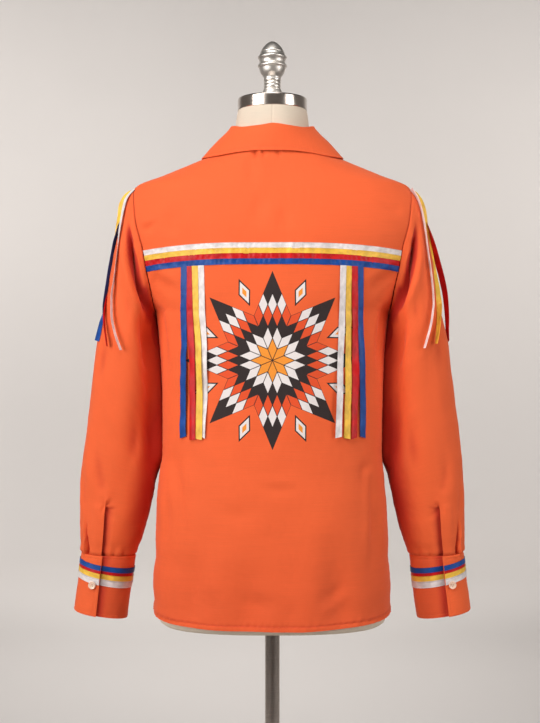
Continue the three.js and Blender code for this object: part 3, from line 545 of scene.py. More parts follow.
# rows as for the torso's creases, with (x, z) places on the back of the right sleeve; a last
# value tells how much narrower the crease is on the left of its run
sleeveBackCreaseRows = {
    "both": [
        # the deep fold that runs from beside the shoulder into the armpit and on along the torso
        ([(211.8, 1392), (206.8, 1358), (200.8, 1330), (194.2, 1306), (187.2, 1282),
          (181.2, 1262), (176.8, 1240)], (7.4, 11), 20, 0.2, (0.38, 0.36), 0.26),
        # pleat over the cuff
        ([(274.2, 958), (276.2, 930), (273.8, 902), (273, 886)], (2, 3.4), 7.4, 0.5, (0.75, 0.04), 0.6),
    ],
    -1: [
        # long soft creases down the outer half of the back
        ([(244, 1232), (250, 1180), (255.5, 1130)], 11, 2.2, 0.4, (0.5, 0.5)),
        ([(211, 1300), (208, 1262), (210, 1220)], 9, 2, -0.4, (0.5, 0.5)),
        ([(260, 1075), (256, 1020), (248, 975)], 10, 2, 0.5, (0.5, 0.25)),
        ([(198.5, 1120), (202, 1060), (210, 1005)], 11, 2.4, -0.4, (0.5, 0.5)),
        ([(279, 1030), (280, 985), (277, 945)], 7, 1.5, 0.4, (0.5, 0.4)),
        # rays from the top of the slit
        ([(245, 965), (239, 968.5), (230, 976)], (2.2, 5), 2.2, -0.6, (0.1, 0.7)),
        ([(247, 964), (250.5, 959), (254.5, 956)], (1.8, 3.2), 1.3, 0.6, (0.1, 0.6)),
        ([(244, 960), (234, 948), (226, 942)], (2.8, 6), 1.2, 0.5, (0.15, 0.6)),
        # gathers over the cuff
        ([(236, 886), (234, 896), (230, 909)], (2.8, 5.5), 1.1, 0.4, (0.05, 0.6)),
        ([(223, 885), (219.5, 895), (214, 907)], (2.8, 5), 1, -0.4, (0.05, 0.6)),
        ([(279, 889), (280, 902), (280.5, 918)], (2.6, 4.4), 1, 0.4, (0.05, 0.6)),
    ],
    1: [
        ([(238, 1236), (245, 1190), (252, 1150)], 10, 1.8, 0.4, (0.5, 0.5)),
        ([(209, 1290), (207, 1255), (211, 1215)], 8, 2, -0.4, (0.5, 0.5)),
        ([(258, 1060), (254, 1010), (247, 975)], 9, 1.6, 0.5, (0.5, 0.25)),
        ([(200, 1105), (204.5, 1050), (215, 995)], 11, 2.2, -0.4, (0.5, 0.5)),
        ([(276, 1010), (278.5, 970), (277, 935)], 7, 1.5, 0.4, (0.5, 0.4)),
        ([(245, 965), (238.5, 966.5), (231, 972)], (2.2, 5), 2, -0.6, (0.1, 0.7)),
        ([(247, 964), (251, 958), (254, 953)], (1.8, 3.2), 1.3, 0.6, (0.1, 0.6)),
        ([(244, 960), (235, 950), (224, 947)], (2.8, 6), 1.2, 0.5, (0.15, 0.6)),
        ([(235, 886), (232, 895), (227, 906)], (2.8, 5.5), 1.1, 0.4, (0.05, 0.6)),
        ([(222, 885), (218, 896), (214, 906)], (2.8, 5), 1.1, -0.4, (0.05, 0.6)),
        ([(280, 889), (280.5, 901), (279.5, 916)], (2.6, 4.4), 0.9, 0.4, (0.05, 0.6)),
    ],
}

# rows with (ring, degrees) places: 0 is the outer side, 90 the back, 180 the inner side
sleeveRingCreaseRows = {
    "both": [
        ([(1.2, -58), (1.4, -92), (1.1, -150)], (7, 10), 6, 0.3, (0.3, 0.3)),
        ([(2, -140), (4, -150), (6.2, -150)], (9, 10), 4, 0.3, (0.3, 0.5)),
    ],
    -1: [
        ([(5.6, -66), (6.4, -70), (7.6, -80)], 14, 2.4, 0.3, (0.5, 0.5)),
        ([(4.2, -30), (5.2, -50), (6, -84)], 10, 2.2, 0.4, (0.5, 0.5)),
        ([(8.4, -40), (9.2, -74), (9.6, -110)], 11, 2.4, -0.4, (0.5, 0.5)),
        ([(12.1, -40), (11.3, -44), (10.5, -50)], (4.5, 8), 2.6, 0.4, (0.05, 0.6)),
        ([(12.1, -80), (11.2, -86), (10.2, -88)], (4.5, 9), 2.6, 0.4, (0.05, 0.6)),
        ([(12.1, -120), (11.4, -122), (10.7, -126)], (4.5, 8), 2.2, -0.4, (0.05, 0.6)),
    ],
    1: [
        ([(5.2, -62), (6.6, -74), (7.8, -86)], 14, 2.4, 0.3, (0.5, 0.5)),
        ([(4, -36), (5, -60), (5.8, -96)], 11, 2.2, 0.4, (0.5, 0.5)),
        ([(8.2, -50), (9, -80), (9.4, -118)], 11, 2.2, -0.4, (0.5, 0.5)),
        ([(12.1, -36), (11.2, -42), (10.4, -52)], (4.5, 8), 2.6, 0.4, (0.05, 0.6)),
        ([(12.1, -76), (11.3, -80), (10.4, -84)], (4.5, 9), 2.4, 0.4, (0.05, 0.6)),
        ([(12.1, -116), (11.4, -120), (10.6, -128)], (4.5, 8), 2.4, -0.4, (0.05, 0.6)),
    ],
}


def sleeveBackCrease(places, *look):
    path = sleevePoint(*sleevePlaces(*throughPlaces(np.array(places) * mm)))
    moved = np.linalg.norm(np.diff(path, axis=0), axis=1) > 1e-4
    return crease(path[np.append(True, moved)], *look)


def sleeveRingCrease(places, *look):
    at, turn = throughPlaces(places)
    return crease(sleevePoint(at, np.radians(turn)), *look)


sleeveCreases = {}
for side in (-1, 1):
    backRows = sleeveBackCreaseRows["both"] + sleeveBackCreaseRows[side]
    ringRows = sleeveRingCreaseRows["both"] + sleeveRingCreaseRows[side]
    sleeveCreases[side] = [sleeveBackCrease(*row) for row in backRows]
    sleeveCreases[side] += [sleeveRingCrease(*row) for row in ringRows]

sleeveDetail = {
    "ringStep": 0.043,         # about how far apart two rings are
    "capStep": 0.022,          # the same beside the armhole
    "cuffStep": 0.030,         # and beside the cuff
    "round": 0.055,            # about the sleeve's radius
    "wristGirth": 0.042,       # its radius over the cuff
    "slitTop": 9.68,           # ring at which the slit over the cuff ends
    "slitTurn": (79.8, 82),    # degrees at its top and at the cuff
    "placket": 0.0150,         # width of the strip that binds the slit
    "underlap": 0.009,         # how far the cloth runs on under the slit's edge
    "drift": 0.0008,
    "ripple": 0.0001,
    "capPucker": 0.0005,
    "seamRoll": 0.0006,
    "underarmRoll": 0.0007,
    "underarmPucker": 0.0003,
    "puff": 0.0023,            # how far the cloth stands out over the cuff
    "cuffDip": 0.0012,         # how far it draws in where it enters the cuff
    "gather": 0.0002,
    "sink": 0.0240,            # how far it sinks back on its inner side
    "leanGap": 0.0012,         # how far off the torso it leans
}


def slitTurnAt(at):
    top = sleeveDetail["slitTop"]
    return np.radians(mix(*sleeveDetail["slitTurn"], np.clip((at - top) / (12 - top), 0, 1)))


def sleeveUneven(side, at, turn):
    v = sleeveDetail
    s, down = turn * v["round"], at * v["ringStep"]
    loose = v["drift"] * smooth(at / 1.5) * smooth((12 - at) / 1.2)
    toCuff = np.clip(12 - at, 0, None) * v["cuffStep"]
    return sum([
        loose * waves(s * 0.9, down * 0.5, 81 + side, 0.06),
        0.4 * loose * waves(s, down * 0.7, 84 + side, 0.026),
        v["ripple"] * waves(s, down, 87 + side, 0.011),
        v["capPucker"] * bump(at * v["capStep"], 0.009) * puckers(turn * 0.075, 91 + side, 0.0100),
        v["gather"] * bump(toCuff - 0.003, 0.007) * puckers(s, 97 + side, 0.0085),
    ])


def sleeveLift(side, at, turn, point, outward):
    v = sleeveDetail
    # the unevenness meets itself where the piece closes on itself
    back = smooth((slitTurnAt(at) - 2 * math.pi + 0.7 - turn) / 0.7)
    uneven = mix(sleeveUneven(side, at, turn), sleeveUneven(side, at, turn + 2 * math.pi), back)
    fromSeam = at * v["capStep"]
    wrapped = np.abs((turn % (2 * math.pi)) - math.pi)
    underarm = wrapped * 0.05
    toCuff = (12 - at) * np.where(at < 12, v["cuffStep"], 0.006)
    fold = np.degrees(turn % (2 * math.pi))
    sunk = smooth((at - 1.2) / 3.2) * smooth((9.0 - at) / 2.2) * mix(1, 0.6, smooth((at - 3.0) / 2.0))
    lift = creaseDepth(point, outward, sleeveCreases[side]) + uneven + sum([
        # the seam at the armhole and the underarm seam
        v["seamRoll"] * (bump(fromSeam - 0.005, 0.004) - bump(fromSeam, 0.0014)),
        -v["underarmRoll"] * bump(underarm, 0.0012),
        v["underarmPucker"] * bump(underarm, 0.006) * puckers(at * v["ringStep"], 95 + side, 0.012),
        # set into the cuff
        v["puff"] * bump(toCuff - 0.008, 0.009) - v["cuffDip"] * bump(toCuff, 0.0030),
        # the cloth sinks back beside the torso
        -v["sink"] * sunk * smooth((fold - 86) / 66) * smooth((192 - fold) / 22),
    ])
    # the inner side leans against the torso from the armpit to the waist
    inX, inZ = along(sleeveRows, "inX", at), along(sleeveRows, "inZ", at)
    gap = np.clip(inX - along(bodyRows, "width", inZ) + v["leanGap"], 0, 0.006)
    beside = smooth(at / 0.5) * smooth((8.5 - at) / 0.9)
    return mix(lift, gap, beside * bump(wrapped, 0.30))


def sleevePaintedShade(side, at, turn):
    # painted shade, 0 to 1: darker and redder the deeper in a fold each place lies, and on the sleeve's
    # inner side beside the torso
    at, turn = together(at, turn)
    depth = -creaseDepth(sleevePoint(at, turn), sleeveNormal(at, turn), sleeveCreases[side])
    fold = np.degrees(turn % (2 * math.pi))
    start = mix(138, 108, smooth((at - 5.2) / 2.6))
    inner = 0.95 * smooth((fold - start) / 46) * smooth((at - 1.0) / 2.0)
    # painted shade, darkest in the armpit, then along the torso's edge
    start = mix(116, 137, smooth((at - 0.9) / 0.9))
    armpit = 1.25 * smooth((fold - start) / 10) * smooth((at - 0.1) / 1.0) * smooth((2.7 - at) / 1.0)
    start = mix(158, 170, smooth((at - 2.4) / 1.6))
    slit = 1.3 * smooth((fold - start) / 8) * smooth((at - 1.2) / 1.0) * smooth((8.5 - at) / 2.0)
    shade = np.maximum(np.maximum(inner, armpit), slit)
    shade = shade * smooth((262 - fold) / 40) * smooth((12.4 - at) / 3.0)
    return smooth((depth - 0.0006) / 0.0040) + shade


def onSleeve(side, at, turn, lift=0.0):
    # a point on either sleeve; side is 1 for the right one
    at, turn = together(at, turn)
    point, normal = sleevePoint(at, turn), sleeveNormal(at, turn)
    moved = point + normal * (lift + sleeveLift(side, at, turn, point, normal))[..., None]
    return moved * np.array([side, 1, 1])


# the cuff, a strip wound once round the wrist: wound is 0 at the lapping edge, in degrees

def cuffPoint(down, wound):
    down, wound = together(down, wound)
    ring = {name: mix(*cuffRows[name], down) for name in cuffRows}
    return ringPoint(ring, np.radians(mix(*cuffValues["lapTurn"], down) - wound))


def cuffLift(side, down, wound):
    v = cuffValues
    length = wound / 360 * v["girth"]
    fromTop, fromHem = down * v["depth"], (1 - down) * v["depth"]
    fromEnd = (360 + v["lap"]) / 360 * v["girth"] - length
    edge = np.minimum(np.minimum(fromTop, fromHem), np.minimum(length, fromEnd))
    return sum([
        v["drift"] * waves(length, down * 0.06, 101 + side, 0.075) * smooth(edge / 0.004 + 0.4),
        v["ripple"] * waves(length, down * 0.09, 104 + side, 0.012),
        -v["stitchDip"] * bump(edge - v["topstitch"], 0.0008) - 0.0004 * bump(edge, 0.0009),
        v["pucker"] * bump(edge - 0.003, 0.005) * puckers(length + down * 0.07, 107 + side, 0.009),
    ])


def onCuff(side, down, wound, lift=0.0):
    down, wound = together(down, wound)
    point = cuffPoint(down, wound)
    middle = (cuffPoint(down, wound + 180) + point) / 2
    normal = unit(np.cross(cuffPoint(down + 0.01, wound) - point, cuffPoint(down, wound + 0.5) - point))
    rise = cuffValues["lapRise"] * (1 - smooth(wound / 75)) + 0.0003
    moved = point + facing(normal, point - middle) * (lift + rise + cuffLift(side, down, wound))[..., None]
    return moved * np.array([side, 1, 1])


# making meshes

def deselectAll():
    if bpy.context.object and bpy.context.object.mode != "OBJECT":
        bpy.ops.object.mode_set(mode="OBJECT")
    bpy.ops.object.select_all(action="DESELECT")


def pick(obj):
    deselectAll()
    obj.select_set(True)
    bpy.context.view_layer.objects.active = obj


def applyAll(obj):
    pick(obj)
    for modifier in list(obj.modifiers):
        bpy.ops.object.modifier_apply(modifier=modifier.name)


def smoothShade(obj, angle):
    pick(obj)
    bpy.ops.object.shade_smooth_by_angle(angle=math.radians(angle))


def addObject(name, data):
    obj = bpy.data.objects.new(name, data)
    bpy.context.scene.collection.objects.link(obj)
    return obj


def newPiece(name, vertices, faces, uvs=None):
    mesh = bpy.data.meshes.new(name)
    mesh.from_pydata(np.asarray(vertices).tolist(), [], faces)
    if uvs is not None:
        layer = mesh.uv_layers.new(name="cloth")
        loops = np.empty(len(mesh.loops), int)
        mesh.loops.foreach_get("vertex_index", loops)
        layer.data.foreach_set("uv", np.asarray(uvs)[loops].astype(np.float32).ravel())
    return addObject(name, mesh)


def gridFaces(rows, columns, flip=False):
    i, j = np.meshgrid(np.arange(rows - 1), np.arange(columns - 1), indexing="ij")
    a = (i * columns + j).ravel()
    quads = np.stack([a, a + 1, a + columns + 1, a + columns], 1)
    return (quads[:, ::-1] if flip else quads).tolist()


def clothUvs(grid):
    # real lengths along each row and down the rows, so that the weave keeps its size
    across = np.linalg.norm(np.diff(grid, axis=1), axis=-1)
    u = np.concatenate([np.zeros((len(grid), 1)), np.cumsum(across, 1)], 1)
    u = u - u[:, u.shape[1] // 2][:, None]
    down = np.linalg.norm(np.diff(grid, axis=0), axis=-1).mean(1)
    v = np.concatenate([[0], np.cumsum(down)])
    return np.stack([u, np.broadcast_to(v[:, None], u.shape)], -1)


def looksInwards(grid, centre):
    # whether the grid's faces have to be turned to look away from a centre line
    i, j = len(grid) // 2, grid.shape[1] // 2
    middle = grid[i, j]
    return np.dot(np.cross(grid[i, j + 1] - middle, grid[i + 1, j] - middle), middle - centre) < 0


def flatSize(grid):
    # width and length of the smallest rectangle that the cut piece fits in, and its area
    across = np.linalg.norm(np.diff(grid, axis=1), axis=-1).sum(1)
    down = np.linalg.norm(np.diff(grid, axis=0), axis=-1).sum(0)
    faces = np.cross(grid[1:, 1:] - grid[:-1, :-1], grid[1:, :-1] - grid[:-1, 1:])
    return float(across.max()), float(down.max()), float(np.linalg.norm(faces, axis=-1).sum() / 2)


def closeColumns(obj, rows, columns):
    # the first and last columns meet in these rows, which closes the piece
    data = bmesh.new()
    data.from_mesh(obj.data)
    data.verts.ensure_lookup_table()
    ends = [data.verts[i * columns + j] for i in rows for j in (0, columns - 1)]
    bmesh.ops.remove_doubles(data, verts=ends, dist=1e-5)
    data.to_mesh(obj.data)
    data.free()


sheetValues = {
    "leastWidth": 0.01,        # the width worked out for a sheet is never narrower
    "leastFill": 0.3,          # the least share of its rectangle that it fills
}


def clothPiece(name, node, grid, centre, thickness=shirtValues["clothThickness"],
               material=None, closed=(), offset=-1.0, paintedShade=None):
    v = sheetValues
    rows, columns = grid.shape[:2]
    faces = gridFaces(rows, columns, looksInwards(grid, np.asarray(centre)))
    obj = newPiece(name, grid.reshape(-1, 3), faces, clothUvs(grid).reshape(-1, 2))
    # painted shade, 0 to 1, kept in the fold attribute that the material darkens the colour by
    if paintedShade is not None:
        layer = obj.data.attributes.new("fold", "FLOAT", "POINT")
        layer.data.foreach_set("value", np.clip(paintedShade, 0, 1).astype(np.float32).ravel())
    if len(closed):
        closeColumns(obj, closed, columns)
    wall = obj.modifiers.new("wall", "SOLIDIFY")
    wall.thickness = thickness
    wall.offset = offset
    wall.use_even_offset = False
    applyAll(obj)
    smoothShade(obj, 50)
    obj.data.materials.append(material or shirtCloth)
    width, length, area = flatSize(grid)
    declared = max(width, v["leastWidth"])
    area = max(min(area, width * length), v["leastFill"] * declared * length)
    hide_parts(node)
    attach(obj, "root")
    return obj


def spaced(length, step, fine=()):
    # distances from 0 to length, a step apart, with the fine places added near both ends
    count = max(2, round(length / step))
    even = np.linspace(0, length, count + 1)
    low = [f for f in fine if f < length / 2]
    start = max(low) + step * 0.6 if low else -1
    keep = even[(even > start) & (even < length - start)]
    return np.unique(np.concatenate([[0, length], low, keep, [length - f for f in low]]))


# materials

def addNode(tree, kind, **settings):
    node = tree.nodes.new("ShaderNode" + kind if not kind.startswith("NodeGroup") else kind)
    for name, value in settings.items():
        setattr(node, name, value)
    return node


def feed(tree, socket, value):
    if isinstance(value, bpy.types.NodeSocket):
        tree.links.new(value, socket)
    else:
        socket.default_value = value


def feedAll(tree, node, values):
    for name, value in values.items():
        feed(tree, node.inputs[name], value)
    return node


def calc(tree, operation, *values):
    node = addNode(tree, "Math", operation=operation)
    for socket, value in zip(node.inputs, values):
        feed(tree, socket, value)
    return node.outputs[0]


def plus(tree, a, b):
    return calc(tree, "ADD", a, b)


def minus(tree, a, b):
    return calc(tree, "SUBTRACT", a, b)


def times(tree, a, b):
    return calc(tree, "MULTIPLY", a, b)


def share(tree, a, b):
    return calc(tree, "DIVIDE", a, b)


def mapRange(tree, value, fromLow, fromHigh, toLow, toHigh):
    ends = {"Value": value, "From Min": fromLow, "From Max": fromHigh, "To Min": toLow, "To Max": toHigh}
    return feedAll(tree, addNode(tree, "MapRange"), ends).outputs["Result"]


def varied(tree, unevenness, low, high):
    # most of a noise lies between 0.3 and 0.7
    return mapRange(tree, unevenness, 0.3, 0.7, low, high)


def mixColour(tree, blend, factor, a, b):
    node = addNode(tree, "Mix", data_type="RGBA", blend_type=blend)
    return feedAll(tree, node, {0: factor, 6: a, 7: b}).outputs[2]


def toned(tree, colour, tone):
    # a colour made lighter or darker, 1 leaving it as it is
    grey = addNode(tree, "CombineColor")
    for socket in grey.inputs:
        feed(tree, socket, tone)
    return mixColour(tree, "MULTIPLY", 1.0, colour, grey.outputs[0])


def noise(tree, vector, scale, detail=3.0, roughness=0.5):
    values = {"Vector": vector, "Scale": scale, "Detail": detail, "Roughness": roughness}
    return feedAll(tree, addNode(tree, "TexNoise"), values).outputs["Fac"]


def scaled(tree, vector, scale, location=(0, 0, 0)):
    values = {"Vector": vector, "Scale": scale, "Location": location}
    return feedAll(tree, addNode(tree, "Mapping"), values).outputs["Vector"]


def inMillimetres(tree, vector, location=(0, 0, 0)):
    return scaled(tree, vector, (1000, 1000, 1000), location)


def axes(tree, vector):
    return feedAll(tree, addNode(tree, "SeparateXYZ"), {0: vector}).outputs


def newGroup(name, inputs, outputs):
    tree = bpy.data.node_groups.new(name, "ShaderNodeTree")
    for label, kind, value in inputs:
        socket = tree.interface.new_socket(name=label, in_out="INPUT", socket_type="NodeSocket" + kind)
        if value is not None:
            socket.default_value = value
    for label, kind in outputs:
        tree.interface.new_socket(name=label, in_out="OUTPUT", socket_type="NodeSocket" + kind)
    return tree, addNode(tree, "NodeGroupInput").outputs, addNode(tree, "NodeGroupOutput")


def placeGroup(tree, group, **values):
    return feedAll(tree, addNode(tree, "Group", node_tree=group), values).outputs


def makeWeaveGroup():
    # plain weave: threads go over and under each other in turn; the vector is in millimetres
    tree, inside, out = newGroup(
        "weave", [("Vector", "Vector", None), ("Pitch", "Float", 0.35)],
        [("Height", "Float"), ("Tone", "Float")])
    parts = axes(tree, inside["Vector"])
    threads = [share(tree, part, inside["Pitch"]) for part in (parts[0], parts[1])]
    turns = [calc(tree, "SINE", times(tree, thread, math.pi)) for thread in threads]
    warp, weft = (calc(tree, "ABSOLUTE", turn) for turn in turns)
    over = calc(tree, "GREATER_THAN", times(tree, *turns), 0.0)
    height = plus(tree, times(tree, warp, over), times(tree, weft, minus(tree, 1.0, over)))
    slub = noise(tree, scaled(tree, inside["Vector"], (0.02, 1.4, 1)), 1.0, 2.0)
    # the tone is painted shade and highlight: darker in the hollows between threads and lighter on their
    # tops, with random slub
    tone = plus(tree, mapRange(tree, height, 0.0, 1.0, -0.05, 0.03), varied(tree, slub, 0.97, 1.03))
    feedAll(tree, out, {"Height": height, "Tone": tone})
    return tree


def makeMottleGroup():
    # slow and quick unevenness of a dyed surface
    tree, inside, out = newGroup(
        "mottle", [("Vector", "Vector", None), ("Size", "Float", 8.0), ("Amount", "Float", 0.04)],
        [("Tone", "Float"), ("Fine", "Float")])
    slow = noise(tree, inside["Vector"], inside["Size"], 4.0)
    low, high = minus(tree, 1.0, inside["Amount"]), plus(tree, 1.0, inside["Amount"])
    fine = noise(tree, inside["Vector"], 700.0, 3.0, 0.6)
    feedAll(tree, out, {"Tone": varied(tree, slow, low, high), "Fine": fine})
    return tree


starValues = {
    "x": 0.0,
    "z": 1.178,
    "radius": 0.126,
    "rings": 4,                # small diamonds along each side of a large one
    # from the middle outwards
    "fills": ["amber", "white", "black", "flame", "white", "black", "black"],
    "line": 0.75,              # half the width of the lines, in millimetres
    "gapAt": 0.82,             # where the diamonds in the gaps are, as a share of the radius
    "gapHalf": (21.0, 9.0),    # half their length and width, in millimetres
}

inks = {
    "black": (0.030, 0.020, 0.020, 1),
    "white": (0.80, 0.74, 0.73, 1),
    "amber": (0.88, 0.30, 0.035, 1),
    "flame": (0.78, 0.085, 0.022, 1),
}


def makeStarGroup():
    # an eight-pointed star pieced from small diamonds, with a diamond in each gap between its
    # points; the vector is in millimetres from the star's centre
    v = starValues
    tree, inside, out = newGroup(
        "starPatch", [("Vector", "Vector", None), ("Radius", "Float", 126.0)],
        [("Mask", "Float"), ("Colour", "Color")])
    tilt = math.pi / 8
    x, _, z = axes(tree, inside["Vector"])
    reach = calc(tree, "SQRT", plus(tree, times(tree, x, x), times(tree, z, z)))
    angle = calc(tree, "ARCTAN2", z, x)

    def folded(shift):
        turn = plus(tree, angle, tilt + shift + 4 * math.pi)
        local = minus(tree, calc(tree, "MODULO", turn, 2 * tilt), tilt)
        return times(tree, reach, calc(tree, "COSINE", local)), times(tree, reach, calc(tree, "SINE", local))

    def toLine(value):
        part = calc(tree, "FRACT", value)
        return times(tree, calc(tree, "MINIMUM", part, minus(tree, 1.0, part)), cell)

    outward, beside = folded(0.0)
    cell = share(tree, share(tree, inside["Radius"], 2 * math.cos(tilt)), float(v["rings"]))
    half = times(tree, outward, 0.5 / math.cos(tilt))
    skew = times(tree, beside, 0.5 / math.sin(tilt))
    low = share(tree, minus(tree, half, skew), cell)
    high = share(tree, plus(tree, half, skew), cell)
    inStar = calc(tree, "LESS_THAN", calc(tree, "MAXIMUM", low, high), float(v["rings"]))
    ring = plus(tree, calc(tree, "FLOOR", low), calc(tree, "FLOOR", high))
    ramp = addNode(tree, "ValToRGB")
    feed(tree, ramp.inputs[0], share(tree, plus(tree, ring, 0.5), 2.0 * v["rings"] - 1))
    ramp.color_ramp.interpolation = "CONSTANT"
    stops = ramp.color_ramp.elements
    for i, fill in enumerate(v["fills"]):
        stop = stops[i] if i < 2 else stops.new(i / len(v["fills"]))
        stop.position = i / len(v["fills"])
        stop.color = inks[fill]
    line = calc(tree, "LESS_THAN", calc(tree, "MINIMUM", toLine(low), toLine(high)), v["line"])
    starColour = mixColour(tree, "MIX", line, ramp.outputs["Color"], inks["black"])

    outward, beside = folded(tilt)
    outward = minus(tree, outward, times(tree, inside["Radius"], v["gapAt"]))
    ways = zip((outward, beside), v["gapHalf"])
    size = plus(tree, *(share(tree, calc(tree, "ABSOLUTE", way), half) for way, half in ways))
    gapColour = inks["black"]
    for limit, fill in ((0.78, "white"), (0.36, "amber")):
        gapColour = mixColour(tree, "MIX", calc(tree, "LESS_THAN", size, limit), gapColour, inks[fill])
    mask = calc(tree, "MAXIMUM", inStar, calc(tree, "LESS_THAN", size, 1.0))
    feedAll(tree, out, {"Mask": mask, "Colour": mixColour(tree, "MIX", inStar, gapColour, starColour)})
    return tree


weaveGroup = makeWeaveGroup()
mottleGroup = makeMottleGroup()
starGroup = makeStarGroup()


def startMaterial(name, roughness, **constants):
    # constants go on the shader's own sockets, spaces in their names written as underscores
    material = bpy.data.materials.new(name)
    material.use_nodes = True
    tree = material.node_tree
    shader = tree.nodes["Principled BSDF"]
    feedAll(tree, shader, {key.replace("_", " "): value for key, value in constants.items()})
    feed(tree, shader.inputs["Roughness"], roughness)
    return material, tree, shader


def where(tree):
    return addNode(tree, "TexCoord").outputs["Object"]


def clothWhere(tree):
    return addNode(tree, "UVMap", uv_map="cloth").outputs[0]


def addRelief(tree, shader, strength, depth, height):
    relief = addNode(tree, "Bump")
    feedAll(tree, relief, {"Strength": strength, "Distance": depth, "Height": height})
    feed(tree, shader.inputs["Normal"], relief.outputs[0])


def addPaintedShade(tree, shader, colour, tint):
    # painted shade: the colour is multiplied towards tint by the fold attribute; tint is what is left of the
    # colour deep in a fold
    fold = addNode(tree, "Attribute", attribute_name="fold").outputs["Fac"]
    feed(tree, shader.inputs["Base Color"], mixColour(tree, "MULTIPLY", fold, colour, tint))


# painted shade colours: what is left of the cloth's and the satin's colour deep in a fold
paintedClothShade = (0.60, 0.21, 0.40, 1)
paintedRibbonShade = (0.42, 0.34, 0.36, 1)


def clothMaterial(name, colour, pitch=0.32, printed=False, roughness=0.78):
    material, tree, shader = startMaterial(
        name, roughness, Sheen_Weight=0.15, Sheen_Roughness=0.45, Sheen_Tint=(1.0, 0.72, 0.55, 1),
        Specular_IOR_Level=0.28)
    place = where(tree)
    weave = placeGroup(tree, weaveGroup, Vector=inMillimetres(tree, clothWhere(tree)), Pitch=pitch)
    mottle = placeGroup(tree, mottleGroup, Vector=place, Size=9.0, Amount=0.03)
    height = weave["Height"]
    if printed:
        v = starValues
        fromStar = inMillimetres(tree, place, (-v["x"] * 1000, 0, -v["z"] * 1000))
        star = placeGroup(tree, starGroup, Vector=fromStar, Radius=v["radius"] * 1000)
        colour = mixColour(tree, "MIX", star["Mask"], colour, star["Colour"])
        height = times(tree, height, mapRange(tree, star["Mask"], 0.0, 1.0, 1.0, 0.45))
    addPaintedShade(tree, shader, toned(tree, colour, times(tree, weave["Tone"], mottle["Tone"])), paintedClothShade)
    feed(tree, shader.inputs["Roughness"], varied(tree, mottle["Fine"], roughness - 0.06, roughness + 0.06))
    addRelief(tree, shader, 0.5, 0.00006, plus(tree, height, times(tree, mottle["Fine"], 0.5)))
    return material


def ribbonMaterial(name, colour, width=9.4, edgeWidth=0.45, ribPitch=0.45):
    # satin ribbon: a woven edge on both sides and fine ribs across; widths in millimetres
    material, tree, shader = startMaterial(
        name, 0.36, Sheen_Weight=0.01, Sheen_Roughness=0.3, Specular_IOR_Level=0.22)
    uv = clothWhere(tree)
    across, down, _ = axes(tree, inMillimetres(tree, uv))
    ribs = calc(tree, "SINE", times(tree, down, 2 * math.pi / ribPitch))
    floats = noise(tree, scaled(tree, uv, (9000, 260, 1)), 1.0, 2.0)
    slow = noise(tree, scaled(tree, uv, (120, 70, 1)), 1.0, 2.0)
    edge = calc(tree, "GREATER_THAN", calc(tree, "ABSOLUTE", across), width / 2 - edgeWidth)
    # the slow patches are partly random tone and partly painted sheen: lighter and darker stretches along
    # the satin stand in for its changing highlights
    tone = times(tree, varied(tree, floats, 0.94, 1.05), varied(tree, slow, 0.78, 1.18))
    tone = times(tree, tone, mapRange(tree, edge, 0.0, 1.0, 1.0, 0.80))
    addPaintedShade(tree, shader, toned(tree, colour, tone), paintedRibbonShade)
    roughness = plus(tree, varied(tree, floats, 0.30, 0.42), times(tree, edge, 0.2))
    feed(tree, shader.inputs["Roughness"], roughness)
    addRelief(tree, shader, 0.35, 0.00004, plus(tree, ribs, times(tree, floats, 1.2)))
    return material


def threadMaterial(name, colour):
    material, tree, shader = startMaterial(name, 0.55, Specular_IOR_Level=0.4)
    twist = varied(tree, noise(tree, where(tree), 5000.0, 1.0), 0.85, 1.1)
    feed(tree, shader.inputs["Base Color"], toned(tree, colour, twist))
    return material


def buttonMaterial(name, colour):
    # cloudy pressed plastic that lets a little light in
    material, tree, shader = startMaterial(
        name, 0.25, Subsurface_Weight=0.15, Subsurface_Scale=0.002, Coat_Weight=0.25, Coat_Roughness=0.12)
    place = where(tree)
    pale = tuple(min(1, c * 1.22) for c in colour[:3]) + (1,)
    cloud = mapRange(tree, noise(tree, scaled(tree, place, (1, 1, 2.5)), 420.0, 4.0), 0.35, 0.65, 0.0, 1.0)
    feed(tree, shader.inputs["Base Color"], mixColour(tree, "MIX", cloud, colour, pale))
    feed(tree, shader.inputs["Roughness"], varied(tree, noise(tree, place, 1500.0), 0.2, 0.34))
    return material


def metalMaterial(name, colour, roughness, grain):
    # brushed round its axis, with faint finger marks
    material, tree, shader = startMaterial(name, roughness, Metallic=1.0)
    place = where(tree)
    brushed = noise(tree, scaled(tree, place, grain), 1.0, 3.0, 0.6)
    marks = mapRange(tree, noise(tree, place, 28.0, 4.0, 0.6), 0.45, 0.7, 0.0, 0.08)
    feed(tree, shader.inputs["Base Color"], toned(tree, colour, varied(tree, brushed, 0.90, 1.08)))
    streaks = varied(tree, brushed, roughness - 0.05, roughness + 0.06)
    feed(tree, shader.inputs["Roughness"], plus(tree, streaks, marks))
    addRelief(tree, shader, 0.25, 0.00003, brushed)
    return material


colours = {
    "orange": (0.850, 0.124, 0.032, 1),
    "thread": (0.80, 0.13, 0.035, 1),
    "white": (0.80, 0.74, 0.74, 1),
    "yellow": (0.90, 0.54, 0.070, 1),
    "red": (0.58, 0.010, 0.013, 1),
    "blue": (0.012, 0.070, 0.31, 1),
    "cream": (0.70, 0.605, 0.49, 1),
    "button": (0.78, 0.56, 0.43, 1),
    "nickel": (0.78, 0.74, 0.69, 1),
    "cap": (0.62, 0.56, 0.51, 1),
    "steel": (0.66, 0.585, 0.53, 1),
}

